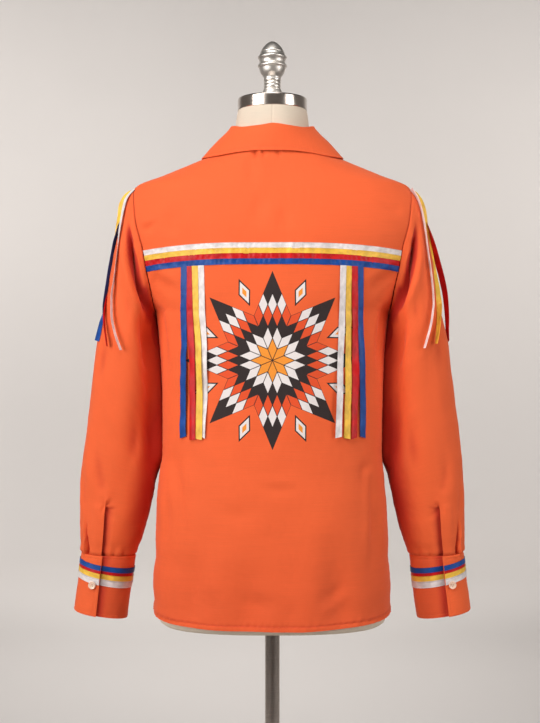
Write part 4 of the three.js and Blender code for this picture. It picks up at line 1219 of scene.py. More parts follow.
shirtCloth = clothMaterial("shirtCloth", colours["orange"])
backCloth = clothMaterial("printedBackCloth", colours["orange"], printed=True)
ribbonCloth = {name: ribbonMaterial(name + "Satin", colours[name]) for name in bandValues["colours"]}
jersey = clothMaterial("formJersey", colours["cream"], pitch=0.75, roughness=0.85)
orangeThread = threadMaterial("orangeThread", colours["thread"])
buttonPlastic = buttonMaterial("peachButton", colours["button"])
ribbonThread = {name: threadMaterial(name + "Thread", colours[name]) for name in bandValues["colours"]}
brushedNickel = metalMaterial("brushedNickel", colours["nickel"], 0.38, (60, 60, 2600))
capNickel = metalMaterial("polishedNickel", colours["cap"], 0.16, (60, 60, 2600))
poleSteel = metalMaterial("poleSteel", colours["steel"], 0.19, (60, 60, 1800))
baseSteel = metalMaterial("baseSteel", colours["steel"], 0.32, (900, 900, 60))
print("materials ready")


# back and fronts

# closer rows beside the hem and the neck, and closer columns beside the seams
hemPlaces = (0.0012, 0.0026, 0.0042, 0.0056, 0.0066, 0.0078, 0.0092, 0.0115)
seamPlaces = (0.0007, 0.0015, 0.0025, 0.0040, 0.0062)

# columns of the front band, in millimetres from its edge
bandPlaces = (0, 0.8, 2, 5, 9, 13, 17, 21, 25, 27.5, 29, 30, 31, 32.5, 36, 40, 45, 49)


def panelHeights():
    v = shirtValues
    return (v["hemZ"] + spaced(v["neckZ"] - v["hemZ"], v["gridStep"], hemPlaces))[:, None]


def panelShares(girth):
    return spaced(girth, shirtValues["gridStep"], seamPlaces)[None, :] / girth


def makeBack():
    z = panelHeights()
    edge = turnAtEdge(z)
    turn = mix(edge, math.pi - edge, panelShares(shirtValues["backGirth"]))
    grid = onBody(-1, z + hemRise(z, turn), turn)
    # painted shade along the hem's stitching, beside the seams and towards the hem
    return clothPiece("backPanel", "back", grid, (0, 0, 1.1),
                      material=backCloth, paintedShade=bodyPaintedShade(z, turn))


def frontRise(x, lapRise):
    # the front that laps over the other one stands off it
    return lapRise * smooth((x + 0.034) / 0.016)


def makeFront(name, node, side, lapRise):
    v = shirtValues
    z = panelHeights()
    neckline = v["neckX"] * np.sqrt(np.clip(1 - (v["neckZ"] - z) / v["neckDrop"], 0, 1))
    opening = np.where(z > v["neckZ"] - v["neckDrop"], -neckline, v["frontOverlap"])
    # columns of the band beside the centre, then the rest of the panel
    bandX = v["frontOverlap"] - np.array(bandPlaces) * mm
    turn = turnAtX(1, z, np.minimum(bandX[None, :], opening - np.arange(len(bandX)) * 0.0011))
    share = panelShares(v["frontGirth"])
    rest = mix(turn[:, -1:], math.pi - turnAtEdge(z), share[share > 0.025][None, :])
    turn = np.concatenate([turn, rest], 1)
    rise = frontRise(bodyPoint(1, z, turn)[..., 0], lapRise)
    turned = turn if side < 0 else math.pi - turn
    grid = onBody(1, z + hemRise(z, turn), turned, rise)
    return clothPiece(name, node, grid, (0, 0, 1.1))


makeBack()
makeFront("leftFront", "front_left", -1, shirtValues["frontLapRise"])
makeFront("rightFront", "front_right", 1, 0.0)
print("back and fronts made")


# collar

collarValues = {
    "standOff": 0.0014,
    "thickness": 0.0012,
    "bend": 0.0022,            # about half the width of the fold
    "endTurn": 175,
    "sections": 170,
    "topstitch": 0.0050,
    "drift": 0.0005,           # broad unevenness of the leaf, and of the stand
    "standDrift": 0.0004,
    "ripple": 0.0001,
    "stitchDip": 0.0003,       # how far the topstitching draws the cloth in
    "pucker": 0.0002,
    # rows of the mesh beside the free edge
    "edgeRows": (0.0, 0.0007, 0.0016, 0.0028, 0.0040, 0.0050, 0.0060, 0.0078),
}


def neckSeamPoint(turn):
    v = shirtValues
    x = v["neckX"] * np.sin(turn)
    ahead = np.abs(turn) > math.pi / 2
    z = np.where(ahead, v["neckZ"] - v["neckDrop"] * np.cos(turn) ** 2, v["neckZ"])
    front, back = (bodyPoint(face, z, turnAtX(face, z, x)) for face in (1, -1))
    return np.where(ahead[:, None], front, back)


def collarGrid():
    v = collarValues
    bend = v["bend"]
    turn = np.radians(np.linspace(-v["endTurn"], v["endTurn"], v["sections"]))
    value = allAlong(collarRows, np.abs(np.degrees(turn)))
    seam = neckSeamPoint(turn)
    seam = seam + unit(seam * np.array([-1, -1, 0])) * v["standOff"] + np.array([0, 0, 0.0012])
    fromSide = np.radians(np.abs(90 - value["around"]))
    around = np.where(turn > 0, fromSide, math.pi - fromSide)
    z, away = value["edgeZ"], value["lift"][:, None]
    front, back = (bodyPoint(face, z, around) + bodyNormal(face, z, around) * away for face in (1, -1))
    edge = np.where(value["around"][:, None] > 90, front, back)
    out = (edge - seam) * np.array([1, 1, 0])
    reach = np.linalg.norm(out, axis=1)
    out = unit(out)
    drop = edge[:, 2] - seam[:, 2]
    # each section: up the stand, over the fold and down the leaf
    rise, lean = value["rise"], value["lean"]
    r = np.stack([0 * rise, lean * 0.5, lean - bend, lean - bend * 0.5, lean + bend * 0.6,
                  lean + bend * 1.4, mix(lean + bend, reach, 0.5) + 0.0005, reach], 1)
    h = np.stack([0 * rise, rise * 0.5, rise - bend * 1.2, rise - bend * 0.2, rise - bend * 0.2,
                  rise - bend * 1.4, mix(rise, drop, 0.5), drop], 1)
    grid = []
    for i in range(len(turn)):
        rows = {"t": runLength(np.stack([r[i], h[i]], 1)), "r": r[i], "h": h[i]}
        stand, fold, end = rows["t"][[2, 5, -1]]
        leaf = end - np.array(v["edgeRows"])
        t = np.concatenate([np.linspace(0, stand, 9), np.linspace(stand, fold, 12)[1:],
                            np.linspace(fold, leaf[-1], 17)[1:], leaf[::-1][1:]])
        up = np.stack([0 * t, 0 * t, along(rows, "h", t)], 1)
        grid.append(seam[i] + out[i] * along(rows, "r", t)[:, None] + up)
    grid = np.array(grid)
    # a little unevenness, rolled edges and a dip along the topstitching
    normal = unit(np.cross(np.gradient(grid, axis=0), np.gradient(grid, axis=1)))
    fromMiddle = grid[:, -6] - np.array([0, 0, 1.46])
    normal = normal * np.sign((normal[:, -6] * fromMiddle).sum(-1).mean())
    s = np.linspace(-0.2, 0.2, len(turn))[:, None]
    t = np.linspace(0, 1, grid.shape[1])[None, :]
    section = np.arange(len(turn))
    fromEdge = np.linalg.norm(grid - grid[:, -1:], axis=-1)
    fromEnd = np.minimum(section, section[::-1])[:, None] * 0.0026
    leafPart = smooth((np.arange(grid.shape[1])[None, :] - 19) / 6)
    stitch = np.minimum(fromEdge, fromEnd + 0.0005) - v["topstitch"]
    lift = sum([
        v["drift"] * leafPart * waves(s, t * 0.06, 121, 0.07),
        v["ripple"] * leafPart * waves(s, t * 0.06, 122, 0.014),
        -v["stitchDip"] * leafPart * bump(stitch, 0.0008),
        v["pucker"] * leafPart * bump(stitch, 0.004) * puckers(s, 124, 0.010),
        v["standDrift"] * (1 - leafPart) * waves(s, t * 0, 126, 0.05),
    ])
    return grid + normal * lift[..., None], normal


collarPoints, collarNormals = collarGrid()
clothPiece("collarPiece", "collar", collarPoints, (0, 0, 1.40),
           thickness=collarValues["thickness"], offset=0.0)
print("collar made")


# sleeves and cuffs

def sleeveStations():
    # rings a step apart down the sleeve, with more beside the seams
    at = np.linspace(0, 13, 1301)
    length = runLength(sleevePoint(at, np.full_like(at, math.pi / 2)))
    wanted = spaced(length[-1], shirtValues["gridStep"], (0.0008, 0.0018, 0.0032, 0.0050, 0.0072))
    return np.interp(wanted, length, at)


def makeSleeve(name, node, side):
    v = sleeveDetail
    at = sleeveStations()
    wound = spaced(360, 3.3, (0.5, 1.2, 2.2, 3.6, 5.4, 7.6, 8.6, 9.6))
    # closer columns over the deep fold
    wound = np.concatenate([wound[(wound < 254) | (wound > 334)], np.arange(255, 334, 1.15)])
    wound = np.radians(np.sort(wound))
    girth, strip = v["wristGirth"], v["placket"]
    opening = smooth((at - v["slitTop"]) / 0.12)[:, None]
    # from the slit's edge round the outer side and the front, and on under the edge again
    under = opening * v["underlap"] / girth
    turn = slitTurnAt(at)[:, None] - wound[None, :] * (1 + under / (2 * math.pi))
    ring = np.broadcast_to(at[:, None], turn.shape)
    fromTop = wound[None, :] * girth
    fromLap = (wound[-1] - wound)[None, :] * girth - v["underlap"]
    bound = 0.0012 * smooth((strip - fromTop) / 0.001 + 0.5) - 0.0006 * bump(fromTop - strip, 0.0009)
    grid = onSleeve(side, ring, turn, opening * (bound - 0.0038 * smooth((0.012 - fromLap) / 0.012)))
    # painted shade in the folds and along the armhole seam, and painted shadow beside the slit's edge
    paintedShade = sleevePaintedShade(side, ring, turn) + 0.45 * bump(ring * v["capStep"], 0.0012)
    paintedShade = paintedShade + 0.9 * opening * smooth((0.011 - fromLap) / 0.011)
    centre = (side * 0.225, 0.003, grid[len(grid) // 2, :, 2].mean())
    return clothPiece(name, node, grid, centre,
                      closed=np.where(opening[:, 0] <= 0)[0], paintedShade=paintedShade)


def paintedLapShadow(wound):
    # painted shadow on the cloth beside the cuff's lapping edge
    return 0.28 * smooth((wound - 280) / 40) + 0.6 * smooth((wound - 338) / 18)


def makeCuff(name, node, side):
    v = cuffValues
    wound = spaced(360 + v["lap"], 3.2, (0.9, 2.0, 3.6, 5.2, 6.8, 8.4, 10.5))
    down = spaced(v["depth"], 0.0028, (0.0007, 0.0016, 0.0028, 0.0038, 0.0046, 0.0056, 0.0070))
    grid = onCuff(side, down[:, None] / v["depth"], wound[None, :])
    # painted shadow beside the lapping edge
    paintedShade = np.broadcast_to(paintedLapShadow(wound)[None, :], grid.shape[:2])
    return clothPiece(name, node, grid, (side * 0.252, 0.0085, 0.84),
                      thickness=v["thickness"], paintedShade=paintedShade)


makeSleeve("leftSleeve", "sleeve_left", -1)
makeSleeve("rightSleeve", "sleeve_right", 1)
makeCuff("leftCuff", "cuff_left", -1)
makeCuff("rightCuff", "cuff_right", 1)
print("sleeves and cuffs made")


# ribbons

ribbonValues = {
    "thickness": 0.0003,
    "bandLift": (0.00135, 0.00085),    # stand-off at each band's upper and lower edge
    "bandUneven": 0.00026,
    "bandPucker": 0.00075,
    "cuffUneven": 0.00012,
}


def ribbonPiece(name, node, grid, centre, colour, offset=-1.0, paintedShade=None):
    return clothPiece(name, node, grid, centre, thickness=ribbonValues["thickness"],
                      material=ribbonCloth[colour], offset=offset,
                      paintedShade=paintedShade)


def bandDrop(x):
    return bandValues["endDrop"] * np.abs(x / bandValues["halfLength"]) ** 3


def makeBand():
    v, r = bandValues, ribbonValues
    x = np.linspace(-v["halfLength"], v["halfLength"], 190)[:, None]
    across = np.array([0, 0.06, 0.2, 0.4, 0.6, 0.8, 0.94, 1])[None, :]
    for i, colour in enumerate(v["colours"]):
        z = v["topZ"] - i * v["pitch"] - across * v["width"] - bandDrop(x)
        seam = along(armholeRows, "x", z) - 0.001
        reach = np.minimum(np.abs(x), seam) * np.sign(x)
        # each ribbon lies with its upper edge over the one above it
        lift = sum([
            mix(*r["bandLift"], across),
            r["bandUneven"] * waves(x, across * 0.012, 131 + i, 0.017),
            -r["bandPucker"] * bump(across - 0.4, 0.4) * puckers(x, 141 + i, 0.0070),
        ])
        grid = onBody(-1, z, turnAtX(-1, z, reach), lift)
        ribbonPiece("band" + colour.capitalize(), "band_" + colour, grid, (0, 0, 1.32), colour)


# side, colour, x at five heights from the top and z of the end in millimetres, slant of the
# cut end in tenths of a millimetre, and layer
streamerRows = [
    ("left", "blue", (-125.7, -125.9, -125.8, -126.2, -126.5), 1068, 35, 0),
    ("left", "red", (-117.3, -116.7, -114.1, -112.7, -112.6), 1065, 12, 0),
    ("left", "yellow", (-109.6, -107.5, -103.5, -101.7, -102.6), 1066, -15, 1),
    ("left", "white", (-101.1, -99.0, -96.2, -96.3, -98.7), 1069, -35, 0),
    ("right", "white", (99.9, 98.0, 95.9, 93.8, 91.7), 1069, 20, 1),
    ("right", "yellow", (107.8, 107.3, 107.1, 106.2, 105.0), 1067, -20, 0),
    ("right", "red", (116.4, 116.5, 116.2, 115.5, 113.8), 1067, 25, 1),
    ("right", "blue", (125.0, 125.1, 126.4, 128.1, 128.1), 1068, -30, 0),
]

streamerValues = {
    "width": 0.0088,
    "standOff": 0.0026,
    "wave": 0.0007,
    "curl": 0.0006,
    "twist": 0.0008,
    "ripple": 0.00022,
}


def makeStreamers():
    v = streamerValues
    topZ = bandValues["topZ"] - 4 * bandValues["pitch"] - 0.0004
    t = np.linspace(0, 1, 96)[:, None]
    across = np.linspace(-0.5, 0.5, 7)[None, :]
    hang = smooth(t * 1.5)
    s = t * 0.27
    for k, (side, colour, places, bottom, slant, layer) in enumerate(streamerRows):
        places = np.array(places) * mm
        cut = slant * 0.1 * mm * across * smooth((t - 0.9) / 0.1)
        z = mix(topZ - bandDrop(places[0]), bottom * mm, t) + cut
        x = throughPlaces(places[:, None], len(t))[0][:, None] + across * v["width"]
        lift = sum([
            0.0011 + layer * 0.0005 + v["standOff"] * hang * (0.7 + 0.35 * layer),
            v["wave"] * smooth(t * 4) * waves(s, across * 0.01, 151 + k, 0.055, 4),
            v["curl"] * (across * 2) ** 2 * waves(s, t * 0, 161 + k, 0.12, 3) * hang,
            v["twist"] * across * 2 * waves(s, t * 0, 171 + k, 0.13, 4) * hang,
            v["ripple"] * across * 2 * waves(s, t * 0, 191 + k, 0.022, 4),
        ])
        turn = turnAtX(-1, z, x)
        point, normal = bodyPoint(-1, z, turn), bodyNormal(-1, z, turn)
        clear = bodyLift(-1, z, turn, point, normal) + 0.0008 + layer * 0.0004
        grid = point + normal * np.maximum(lift, clear)[..., None]
        ribbonPiece(f"streamer{side.capitalize()}{colour.capitalize()}", f"streamer_{side}_{colour}", grid,
                    (0, 0, 1.2), colour)


cuffRibbonRows = [
    # colour, distance below the cuff's top, width, stand-off at the upper and the lower edge
    ("blue", 0.0146, 0.0076, 0.0010, 0.0013),
    ("red", 0.0216, 0.0064, 0.0006, 0.0007),
    ("yellow", 0.0268, 0.0078, 0.0013, 0.0010),
    ("white", 0.0342, 0.0096, 0.0014, 0.0008),
]


def makeCuffRibbons():
    v = cuffValues
    wound = spaced(368, 2.4, (0.8, 1.8))[:, None] + 0.8
    across = np.array([0, 0.1, 0.35, 0.65, 0.9, 1])[None, :]
    level = np.cos(np.radians(86 - wound))
    tilt = -(v["ribbonTilt"][0] * level + v["ribbonTilt"][1] * level ** 2)
    for side, sideName in ((1, "right"), (-1, "left")):
        for k, (colour, start, width, upper, lower) in enumerate(cuffRibbonRows):
            down = (start + across * width + tilt) / v["depth"]
            lift = ribbonValues["cuffUneven"] * waves(wound * 0.00065, across * 0.01, 181 + k + side, 0.02)
            grid = onCuff(side, down, wound, lift + mix(upper, lower, across))
            # the cuff ribbons take the same painted shadow beside the lapping edge, at less strength
            ribbonPiece(f"{sideName}Cuff{colour.capitalize()}", f"cuff_ribbon_{sideName}_{colour}", grid,
                        (side * 0.252, 0.0085, 0.86), colour,
                        paintedShade=0.6 * np.broadcast_to(paintedLapShadow(wound), down.shape))


# side and colour, then down its length in millimetres: x and z of its middle, how far it
# stands off the sleeve, how broad it looks from behind, minus where the side in sight looks
# inwards, and whether it lies on the back of the sleeve or, at -1, on its front
shoulderRibbonRows = [
    (-1, "white", [
        (205, 1432, 4, 4.6, 1), (216, 1416.5, 5, 4, 1), (220.8, 1390, 5.4, 3, 1),
        (224.3, 1361.9, 5.4, 2, 1), (226.2, 1332.4, 5.4, -1.2, 1), (230.3, 1295.8, 5.6, -2.2, 1),
        (233.8, 1270.2, 5.6, -2.8, 1), (233.3, 1244.4, 5.4, -3.2, 1), (228.1, 1218.6, 5.2, -3.4, 1),
        (219, 1193.1, 5.4, -3.6, 1)]),
    (-1, "yellow", [
        (205.2, 1434.5, 1, 4, 1), (215, 1427.5, 1.6, 6.4, 1), (220.8, 1420, 2.4, 8.4, 1),
        (225, 1411, 3, 8.8, 1), (228.6, 1392.5, 4, 6, 1), (231, 1381.3, 4.4, 4.6, 1),
        (233.6, 1368.3, 4, 3.2, 0.8), (237, 1349.7, 3.6, 2.4, 0.2), (238, 1310, 3.2, 2.2, -0.8),
        (242.5, 1270, 3, 3, -1), (245.5, 1235, 3.2, 4, -1)]),
    (-1, "blue", [
        (205, 1428, 1.2, -8, -1), (216.5, 1408, 2.2, -7, -1), (222, 1392, 3, -5, -0.6),
        (226.5, 1378.4, 5.4, -3.4, 0.6), (229.8, 1363.6, 8, -4.6, 1), (233.2, 1350.7, 8.6, -6.2, 1),
        (238.8, 1321.1, 8.8, -6, 1), (243.2, 1291.5, 8.6, -5.8, 1), (247.8, 1263.8, 7.6, -5.2, 1),
        (253, 1234.2, 5, 5, 1), (255.7, 1221.2, 4.4, 6, 1), (259.2, 1207, 5, 6.8, 1)]),
    (-1, "red", [
        (205, 1427, 0.9, -8, -1), (216, 1405, 1.6, -7, -1), (224, 1370, 2, -4, -1),
        (231.5, 1338, 2.2, -3, -0.8), (235.5, 1323, 2.2, -2.8, -0.7), (240.6, 1293, 2.2, -2.6, -0.2),
        (243.3, 1274.6, 2.4, -2.6, 0.7), (246, 1256.2, 2.8, -2.8, 1), (246.8, 1241.4, 3.2, -2.8, 1),
        (245.4, 1228.3, 3.6, -2.6, 1), (242.8, 1213.5, 4.2, -2.4, 1), (240.3, 1198.8, 5, -2.2, 1)]),
    (1, "white", [
        (205.2, 1431.6, 4.2, -4.4, 1), (213.2, 1417.4, 5.2, -3.2, 1), (217, 1405.5, 5.4, -2.6, 1),
        (219.9, 1391.9, 5.4, -2.8, 1), (222.4, 1376.7, 5.4, -2.6, 1), (224.2, 1361.8, 5.4, -2, 1),
        (226.9, 1336.1, 5.4, -2.4, 1), (230.9, 1306.8, 5.4, -2.6, 1), (233.8, 1277.5, 5.2, -2.6, 1),
        (234.3, 1262.9, 5, -2.6, 1), (232.7, 1248, 5, -2.6, 1), (230.2, 1233.3, 5, -2.9, 1),
        (226.4, 1218.6, 5.2, -3.2, 1), (219.7, 1195.9, 6, -3.2, 1)]),
    (1, "yellow", [
        (207, 1433.8, 1.6, 3.4, 1), (214, 1429, 2, 4.4, 1), (218.8, 1422.2, 2.6, 5.4, 1),
        (222.9, 1412.9, 3, 7.6, 1), (226.2, 1401, 3.8, 8, 1), (229.3, 1378.9, 4.2, 7, 1),
        (231.8, 1366, 4.6, 6.4, 1), (236.6, 1337.8, 4.8, 5.6, 1), (240.6, 1307.9, 4.6, 5.8, 1),
        (244.3, 1278.3, 4.4, 6.6, 1), (244.5, 1255, 4.2, -8.6, 1), (242.7, 1233.7, 4, -6.2, 1),
        (240.8, 1219, 4.2, -5, 1), (238, 1202.5, 5, -3.8, 1)]),
    (1, "red", [
        (206, 1429, 1, -8, -1), (214, 1416.5, 1.6, -7, -1), (221, 1400, 2.4, -4, -0.8),
        (230, 1384, 3.2, -3, 0.2), (235, 1369.1, 4.6, -4.4, 0.8), (238.8, 1356, 6, -6.2, 1),
        (245.8, 1328, 7.4, -8.4, 1), (253.3, 1298.2, 8.6, -8.6, 1), (258.5, 1270.2, 9, -7.6, 1),
        (260.8, 1240.3, 8, -6.2, 1), (261.2, 1225.4, 7, -5.2, 1), (261.2, 1206, 6, -3.8, 1)]),
    (1, "blue", [
        (205.5, 1427, 1, -8, -1), (213, 1413, 1.6, -8, -1), (218.5, 1396, 1.8, -6, -1),
        (227, 1358, 1.8, -4, -1), (235, 1305, 1.8, -5, -1), (243, 1260, 2.2, -6, -1),
        (248, 1228, 3, -7, -1)]),
]

shoulderRibbonValues = {
    "width": 0.0094,
    "bow": 0.0005,
    "eyeY": 1.7,               # how far behind the shirt the breadths are seen from
}


def makeShoulderRibbons():
    v = shoulderRibbonValues
    width = v["width"]
    across = np.linspace(-0.5, 0.5, 6)
    bow = v["bow"] * (1 - (2 * across) ** 2)[None, :, None]
    for k, (side, colour, places) in enumerate(shoulderRibbonRows):
        x, z, stand, broad, behind = np.array(places, float).T
        # each place's breadth gives how far the ribbon is turned there, the near way round
        seen = np.minimum(1, np.abs(broad) * mm / width)
        turned = np.unwrap(np.arccos(seen) * np.sign(broad), period=math.pi)
        places = np.stack([x * mm, z * mm, stand * mm, turned, behind], 1)
        x, z, stand, angle, behind = throughPlaces(places, 120)
        angle = angle - np.arctan(x / v["eyeY"])
        at, turn = sleevePlaces(x, z)
        clear = np.maximum(stand, np.abs(np.sin(angle)) * width / 2 + 0.0012) + 0.0018
        middle = along(sleeveRows, "forward", at)
        y = middle + behind * (sleevePoint(at, turn)[:, 1] - clear - middle)
        y = np.convolve(np.pad(y, 8, mode="edge"), np.ones(17) / 17, mode="valid")
        centre = np.stack([x, y, z], 1)
        tangent = unit(np.gradient(centre, axis=0))
        away = np.stack([np.cos(angle), np.sin(angle), np.zeros_like(angle)], 1)
        away = unit(away - tangent * (away * tangent).sum(1, keepdims=True))
        normal = unit(np.cross(tangent, away))
        uneven = waves(z, z * 0, 231 + k, 0.12, 3)[:, None, None]
        # each stands up from the sleeve like a fin, turned by how broad it looks
        grid = centre[:, None] + away[:, None] * across[None, :, None] * width
        grid = (grid + normal[:, None] * bow * uneven) * np.array([side, 1, 1])
        sideName = "right" if side > 0 else "left"
        ribbonPiece(f"{sideName}Shoulder{colour.capitalize()}", f"shoulder_ribbon_{sideName}_{colour}", grid,
                    (side * 0.2, 0, 1.3), colour, offset=0.0)


makeBand()
makeStreamers()
makeCuffRibbons()
makeShoulderRibbons()
print("ribbons made")


# buttons, form and stand

def drawnUp(name, profile, sides=96):
    # a disc drawn up its profile ring by ring; the profile is (radius, height) in millimetres
    deselectAll()
    radius, height = profile[0]
    bpy.ops.mesh.primitive_circle_add(vertices=sides, radius=radius * mm, fill_type="TRIFAN")
    obj = bpy.context.object
    obj.name = name
    obj.data.name = name
    bpy.ops.object.mode_set(mode="EDIT")
    bpy.ops.mesh.select_all(action="SELECT")
    bpy.ops.transform.translate(value=(0, 0, height * mm))
    for wide, high in profile[1:]:
        bpy.ops.mesh.extrude_region_move(TRANSFORM_OT_translate={"value": (0, 0, (high - height) * mm)})
        bpy.ops.transform.resize(value=(wide / radius, wide / radius, 1))
        radius, height = wide, high
    bpy.ops.mesh.select_all(action="SELECT")
    bpy.ops.mesh.normals_make_consistent(inside=False)
    bpy.ops.object.mode_set(mode="OBJECT")
    smoothShade(obj, 35)
    return obj


def placePiece(obj, node, material):
    obj.data.materials.clear()
    obj.data.materials.append(material)
    if node:
        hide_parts(node)
    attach(obj, "root")


buttonValues = {
    "radius": 5.75,            # this and the holes in millimetres
    "holes": 0.65,
    "holesApart": 2.3,
    "frontTopZ": 1.422,
    "frontPitch": 0.098,
    "frontCount": 6,
    "cuffDown": 0.4880,        # share of the cuff's depth
    "cuffWound": 14,
}

# share of the button's radius, and height in millimetres
buttonProfile = [(0.84, 0), (0.95, 0.25), (1, 0.9), (1, 1.7), (0.96, 2.15), (0.88, 2.38), (0.79, 2.3),
                 (0.71, 1.9), (0.62, 1.72), (0.3, 1.68)]


def makeButtonShape():
    v = buttonValues
    shape = drawnUp("buttonShape", [(share * v["radius"], high) for share, high in buttonProfile], 48)
    reach = v["holesApart"] / 2 * math.sqrt(2) * mm
    for i in range(4):
        a = math.pi / 4 + i * math.pi / 2
        hole = drawnUp("buttonHole", [(v["holes"], -0.5), (v["holes"], 3)], 14)
        hole.data.transform(Matrix.Translation((reach * math.cos(a), reach * math.sin(a), 0)))
        cut = shape.modifiers.new("hole", "BOOLEAN")
        cut.object = hole
        cut.solver = "EXACT"
        applyAll(shape)
        bpy.data.objects.remove(hole)
    smoothShade(shape, 35)
    return shape


def makeButtons():
    v = buttonValues
    shape = makeButtonShape()
    seats = []
    for i in range(v["frontCount"]):
        z = v["frontTopZ"] - i * v["frontPitch"]
        turn = turnAtX(1, z, 0.0)
        seat = onBody(1, np.array([z]), np.array([turn]), shirtValues["frontLapRise"] + 0.0004)[0]
        spin = 0.06 * (i % 3 - 1)
        seats.append((f"frontButton{i + 1}", f"front_button_{i + 1}", seat, bodyNormal(1, z, turn), spin))
    for side, sideName in ((1, "right"), (-1, "left")):
        place = (side, v["cuffDown"], v["cuffWound"])
        seat = onCuff(*place, 0.0010)
        normal = unit(onCuff(*place, 0.003) - seat)
        seats.append((sideName + "CuffButton", "cuff_button_" + sideName, seat, normal, 0.2 * side))
    for name, node, seat, normal, spin in seats:
        obj = addObject(name, shape.data.copy())
        obj.data.name = name
        turned = Vector(normal).to_track_quat("Z", "Y").to_matrix().to_4x4()
        obj.data.transform(Matrix.Translation(Vector(seat)) @ turned @ Matrix.Rotation(spin, 4, "Z"))
        placePiece(obj, node, buttonPlastic)
    bpy.data.objects.remove(shape)


formRows = table("z width back front square", [
    (0.7900, 0.1620, 0.1060, 0.1020, 2.60),
    (0.7940, 0.1670, 0.1110, 0.1070, 2.60),
    (0.8020, 0.1685, 0.1130, 0.1090, 2.60),
    (0.8600, 0.1660, 0.1120, 0.1080, 2.50),
    (0.9680, 0.1600, 0.1070, 0.1050, 2.35),
    (1.0430, 0.1520, 0.1010, 0.1010, 2.25),
    (1.1200, 0.1530, 0.1000, 0.1030, 2.20),
    (1.2000, 0.1580, 0.1010, 0.1050, 2.15),
    (1.2500, 0.1630, 0.1010, 0.1040, 2.10),
    (1.3200, 0.1730, 0.0970, 0.0980, 2.10),
    (1.3800, 0.1830, 0.0860, 0.0840, 2.10),
    (1.4120, 0.1850, 0.0770, 0.0740, 2.05),
    (1.4300, 0.1780, 0.0710, 0.0680, 2.00),
    (1.4460, 0.1550, 0.0660, 0.0630, 2.00),
    (1.4620, 0.1180, 0.0620, 0.0600, 2.00),
    (1.4760, 0.0840, 0.0590, 0.0580, 2.00),
    (1.4880, 0.0630, 0.0575, 0.0575, 2.00),
    (1.5040, 0.0565, 0.0565, 0.0565, 2.00),
    (1.5320, 0.0548, 0.0548, 0.0548, 2.00),
    (1.5440, 0.0533, 0.0533, 0.0533, 2.00),
    (1.5512, 0.0518, 0.0518, 0.0518, 2.00),
])

formValues = {
    "seams": (-128, -90, -52, 0, 52, 90, 128, 180),   # degrees round the form
    "seamDepth": 0.0006,
    "seamWidth": 0.0010,
    "drift": 0.0003,
}


def makeForm():
    v = formValues
    seams = np.radians(v["seams"])
    beside = np.array([-0.030, -0.016, -0.008, 0, 0.008, 0.016, 0.030])
    even = np.linspace(-math.pi, math.pi, 118)[:-1] + 0.011
    turn = np.concatenate([even, (seams[:, None] + beside).ravel()])
    turn = np.unique(np.round((turn + math.pi) % (2 * math.pi) - math.pi, 5))
    turn = turn[np.append(True, np.diff(turn) > 0.004)]
    low, high = formRows["z"][0], formRows["z"][-1]
    z = low + spaced(high - low, 0.0085, (0.0008, 0.002, 0.0034, 0.0052, 0.0074))[:, None]
    value = allAlong(formRows, z)
    depth = np.where(np.sin(turn) < 0, value["back"], value["front"])
    square = value["square"]
    spread = np.abs(np.cos(turn) / value["width"]) ** square + np.abs(np.sin(turn) / depth) ** square
    radius = spread ** (-1 / square)
    for seam in seams:
        away = np.abs((turn - seam + math.pi) % (2 * math.pi) - math.pi) * radius
        # only the middle and side seams run on up the neck
        toNeck = abs(math.sin(2 * seam)) < 1e-6
        reach = 1 if toNeck else smooth((1.486 - z) / 0.01)
        radius = radius - v["seamDepth"] * reach * bump(away, v["seamWidth"])
    radius = radius + v["drift"] * waves(turn[None, :] * 0.12, z, 301, 0.09)
    # its flat under side, its sections from the bottom up, and its flat top
    rows = [(radius[0] * share, low) for share in (0.06, 0.4, 0.75)] + [(radius[0] * 0.93, low + 0.0001)]
    rows += list(zip(radius, z[:, 0]))
    rows += [(radius[-1] * share, high) for share in (0.8, 0.3)]
    grid = np.array([np.stack([r * np.cos(turn), r * np.sin(turn), 0 * r + level], -1) for r, level in rows])
    count = len(turn)
    faces = []
    for i in range(0, (len(rows) - 1) * count, count):
        for j in range(count):
            k = (j + 1) % count
            faces.append((i + j, i + k, i + count + k, i + count + j))
    faces.append(tuple(range(count))[::-1])
    faces.append(tuple(range((len(rows) - 1) * count, len(rows) * count)))
    uvs = np.stack([np.broadcast_to(turn * 0.11, grid.shape[:2]), grid[..., 2]], -1)
    obj = newPiece("formBody", grid.reshape(-1, 3), faces, uvs.reshape(-1, 2))
    smoothShade(obj, 50)
    placePiece(obj, "form_torso", jersey)


